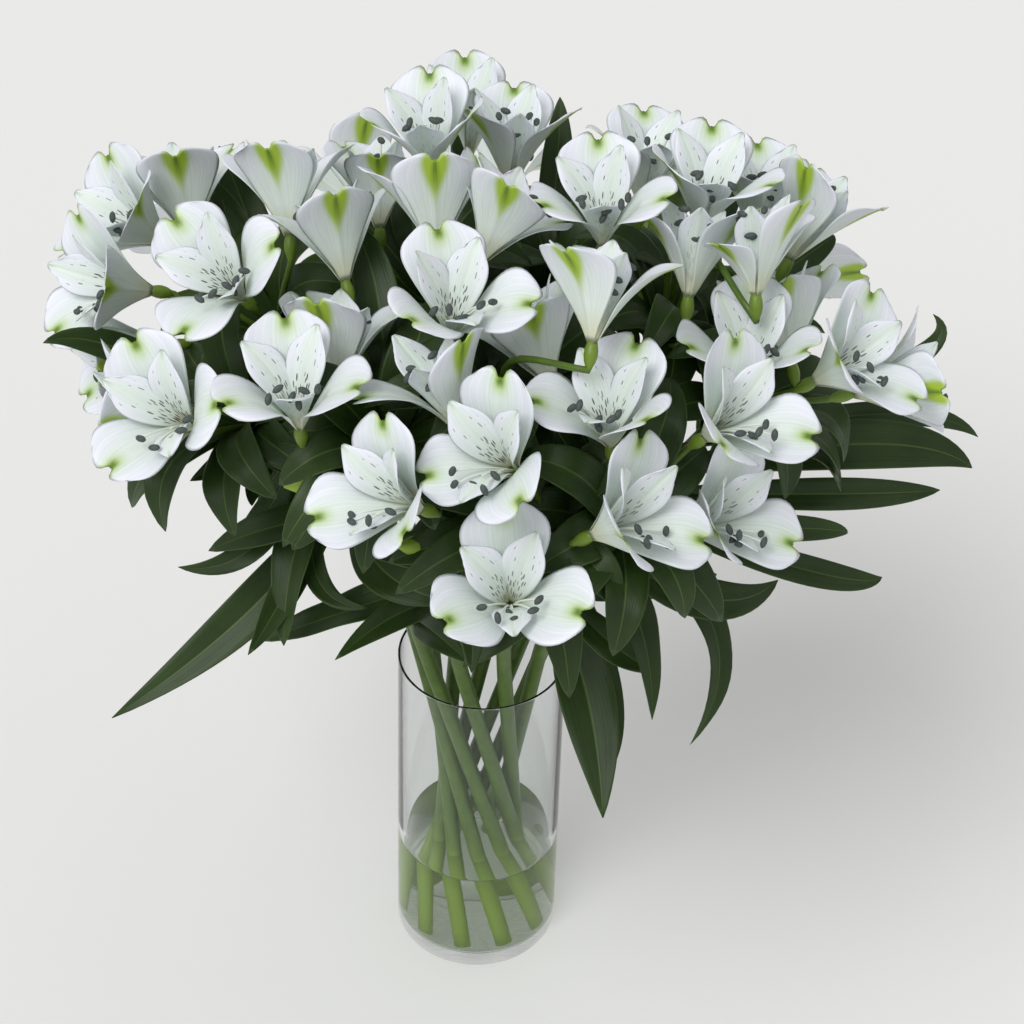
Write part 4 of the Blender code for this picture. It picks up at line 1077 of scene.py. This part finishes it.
# Teardrop on the outside of an outer tepal, 10 mm wide near the end, with a dark green core
drop_width = add("MapRange", v0=along, v1=0.30, v2=0.92, v3=0.0, v4=0.25)
drop_edge = add("Math", LESS, v0=drop_width, v1=off_middle)
drop_side = add("MapRange", STEP, v0=drop_edge, v1=0.0, v2=0.12)
drop_run = add("MapRange", STEP, v0=along, v1=0.30, v2=0.75, v3=0.25, v4=1.0)
drop_shape = add("Math", PRODUCT, v0=drop_side, v1=drop_run)
drop_outer = add("Math", PRODUCT, v0=drop_shape, v1=outer_mark)
drop = add("Math", PRODUCT, v0=drop_outer, v1=back)
striped = add("MixRGB", Fac=drop, Color1=pointed, Color2=linear(STRIPE_GREEN))
core_side = add("MapRange", STEP, v0=off_middle, v1=0.08, v2=0.0)
core_run = add("MapRange", STEP, v0=along, v1=0.5, v2=0.9)
core_patch = add("MapRange", v0=veins, v1=0.3, v2=0.6, v3=0.5, v4=0.9)
core_shape = add("Math", PRODUCT, v0=core_side, v1=core_run)
core_even = add("Math", PRODUCT, v0=core_shape, v1=core_patch)
core = add("Math", PRODUCT, v0=core_even, v1=drop)
cored = add("MixRGB", Fac=core, Color1=striped, Color2=linear(POINT_GREEN))

# Mauve-brown dashes, up to 1 mm wide and 4 mm long, larger towards the root
dash_grid = add("Mapping", Vector=uv, Scale=(15.0, 8.0, 1.0))
cells = add("TexVoronoi", dict(feature="F1"), Vector=dash_grid, Scale=1.0, Randomness=0.9)
dash_size = add("MapRange", v0=along, v1=0.25, v2=0.75, v3=0.47, v4=0.2)
dash_edge = add("Math", LESS, v0=dash_size, v1=cells)
dash = add("MapRange", STEP, v0=dash_edge, v1=0.0, v2=0.07)
dash_from = add("MapRange", STEP, v0=along, v1=0.10, v2=0.20)
dash_patch = add("MapRange", v0=grain, v1=0.35, v2=0.6, v3=0.6, v4=1.0)
dash_side = add("MapRange", STEP, v0=off_middle, v1=0.40, v2=0.30)
dash_run = add("Math", PRODUCT, v0=dash, v1=dash_from)
dash_middle = add("Math", PRODUCT, v0=dash_run, v1=dash_side)
dash_even = add("Math", PRODUCT, v0=dash_middle, v1=dash_patch)
dashes = add("Math", PRODUCT, v0=dash_even, v1=dashed)
wear(
    Base_Color=add("MixRGB", Fac=dashes, Color1=cored, Color2=linear(DASH_MAUVE)),
    Roughness=0.5,
    Normal=add("Bump", Strength=0.3, Distance=0.0003, Height=veins),
)

for number, (name, bloom) in enumerate(blooms.items()):
    draw = np.random.default_rng(TEPAL_SEED + number)
    bodies, uvs, marks = [], [], {"inner": [], "dashed": [], "back": []}
    for kind, *shape in bloom["tepals"]:
        points, faces, shares, back_mark = tepal_sheet(bloom, kind, *shape, draw)
        bodies.append((points, faces))
        uvs.append(shares)
        marks["inner"].append(np.full(len(points), float(kind is not OUTER)))
        marks["dashed"].append(np.full(len(points), kind["dashed"]))
        marks["back"].append(back_mark)
    marks = {key: np.concatenate(values) for key, values in marks.items()}
    body, uv = merged(bodies), np.vstack(uvs)
    lay(f"{name}_tepals", *body, petal_skin, [name], "white_tepals", uv, marks)


# Stamens and style
# Six thin white filaments curve out over the lower tepals and hold slate-grey anthers, and a
# white style runs between them.
STAMEN_BEARINGS = (130, 155, 180, 205, 230, 178)
STAMEN_LENGTHS = (0.029, 0.033, 0.027, 0.034, 0.030, 0.023)
STAMEN_TILT = (radians(24), radians(40))
FULL_OPENING = radians(56)
NARROWING = 1.6
STAMEN_START = 0.3
BEARING_DRAW = 9
TILT_DRAW = (0.8, 1.1)
LENGTH_DRAW = (0.92, 1.08)
STYLE_SHARE = 0.7
STAMEN_SEED = SEED + 200
FILAMENT_RADIUS = 0.00042
FILAMENT_STEPS = 7
FILAMENT_SIDES = 6
STYLE_LENGTH = 0.024
ANTHER_RADIUS = 0.0013
ANTHER_HALF = 0.0024
ANTHER_BLUNT = 1.03
ANTHER_RINGS = 7
ANTHER_SIDES = 10
ANTHER_DARK = "303838"
ANTHER_LIGHT = "545E5A"
FILAMENT_WHITE = "E4E9E0"


def bent_out(bloom, bearing, length, tilts, steps):
    """Line from the throat that leaves the axis at this bearing and bends away from it."""
    side, top, axis = bloom["frame"]
    out_way = cos(bearing) * top + sin(bearing) * side
    turn = np.linspace(tilts[0] * STAMEN_START, tilts[1], steps)[:, None]
    way = np.cos(turn) * axis + np.sin(turn) * out_way
    runs = np.vstack([np.zeros(3), np.cumsum(way[1:], axis=0)]) * length / (steps - 1)
    return bloom["throat"] + ROOT_UP * axis + runs


def anther(middle, way, draw):
    """Small spindle body round a place, lying across the end of its filament."""
    level = np.linspace(-1, 1, ANTHER_RINGS)
    long_way = unit(np.cross(way, draw.normal(size=3)))
    line = middle + ANTHER_HALF * level[:, None] * long_way
    return tube(line, ANTHER_RADIUS * np.sqrt(ANTHER_BLUNT - level**2), ANTHER_SIDES)


# Filaments: moist white threads. Anthers: closed pollen sacs, dull slate grey-green.
thread_skin, add, wear = finish("filament_and_anther")
sac = add("Attribute", dict(attribute_name="sac"), out="Fac")
grain = add("TexNoise", Vector=add("TexCoord", out="Object"), Scale=900.0, Detail=2.0)
sac_colour = add("MixRGB", Fac=grain, Color1=linear(ANTHER_DARK), Color2=linear(ANTHER_LIGHT))
wear(
    Base_Color=add("MixRGB", Fac=sac, Color1=linear(FILAMENT_WHITE), Color2=sac_colour),
    Roughness=0.6,
)

for number, (name, bloom) in enumerate(blooms.items()):
    draw = np.random.default_rng(STAMEN_SEED + number)
    bodies, sacs = [], []
    opening = np.mean([end for *_, end in bloom["tepals"]])
    tilt = np.array(STAMEN_TILT) * min(1, opening / FULL_OPENING) ** NARROWING
    for bearing, length in zip(STAMEN_BEARINGS, STAMEN_LENGTHS):
        bearing = radians(bearing + draw.uniform(-BEARING_DRAW, BEARING_DRAW))
        tilts = tilt * draw.uniform(*TILT_DRAW)
        length *= draw.uniform(*LENGTH_DRAW)
        line = bent_out(bloom, bearing, length, tilts, FILAMENT_STEPS)
        bodies.append(tube(line, [FILAMENT_RADIUS] * FILAMENT_STEPS, FILAMENT_SIDES))
        bodies.append(anther(line[-1], line[-1] - line[-2], draw))
        sacs += [np.zeros(len(bodies[-2][0])), np.ones(len(bodies[-1][0]))]
    line = bent_out(bloom, pi, STYLE_LENGTH, STYLE_SHARE * tilt, FILAMENT_STEPS)
    bodies.append(tube(line, [STYLE_SHARE * FILAMENT_RADIUS] * FILAMENT_STEPS, FILAMENT_SIDES))
    sacs.append(np.zeros(len(bodies[-1][0])))
    marks = dict(sac=np.concatenate(sacs))
    lay(f"{name}_stamens", *merged(bodies), thread_skin, [name], "white_tepals", marks=marks)


# Studio
# A plain pale table, one large soft light from the front left over an even sky, and a camera
# where the photograph was taken from.
FLOOR_COLOUR = "E8E8E7"
FLOOR_HALF = 3.0
LAMP_WAY = np.array([-0.376, -0.505, 0.777])
LAMP_STRENGTH = 1.7
LAMP_ANGLE = radians(34)
SKY_WHITE = "FFFFFF"
SKY_STRENGTH = 0.6
SENSOR_MM = 36.0
PICTURE_PIXELS = 1024

bpy.ops.mesh.primitive_plane_add(size=2 * FLOOR_HALF)
floor = bpy.context.object
floor.name = "table"
# Matt painted board: even and pale, so that the bunch and its soft shadow are all that shows.
board, add, wear = finish("matt_board")
wear(Base_Color=linear(FLOOR_COLOUR), Roughness=0.9)
floor.data.materials.append(board)

lamp_data = bpy.data.lights.new("soft_key", "SUN")
lamp_data.energy = LAMP_STRENGTH
lamp_data.angle = LAMP_ANGLE
lamp = bpy.data.objects.new("soft_key", lamp_data)
lamp.rotation_euler = Vector(LAMP_WAY).to_track_quat("Z", "Y").to_euler()
bpy.context.scene.collection.objects.link(lamp)

sky = bpy.data.worlds.new("studio")
sky.use_nodes = True
background = sky.node_tree.nodes["Background"]
background.inputs["Color"].default_value = linear(SKY_WHITE)
background.inputs["Strength"].default_value = SKY_STRENGTH
bpy.context.scene.world = sky

camera_data = bpy.data.cameras.new("camera")
camera_data.sensor_width = SENSOR_MM
camera_data.lens = VIEW_FOCAL_PIXELS / PICTURE_PIXELS * SENSOR_MM
camera = bpy.data.objects.new("camera", camera_data)
turned = np.eye(4)
turned[:3] = np.stack([RIGHT, UP, TO_EYE, EYE], axis=1)
camera.matrix_world = Matrix(turned.tolist())
bpy.context.scene.collection.objects.link(camera)
bpy.context.scene.camera = camera
bpy.context.scene.view_settings.view_transform = "Standard"
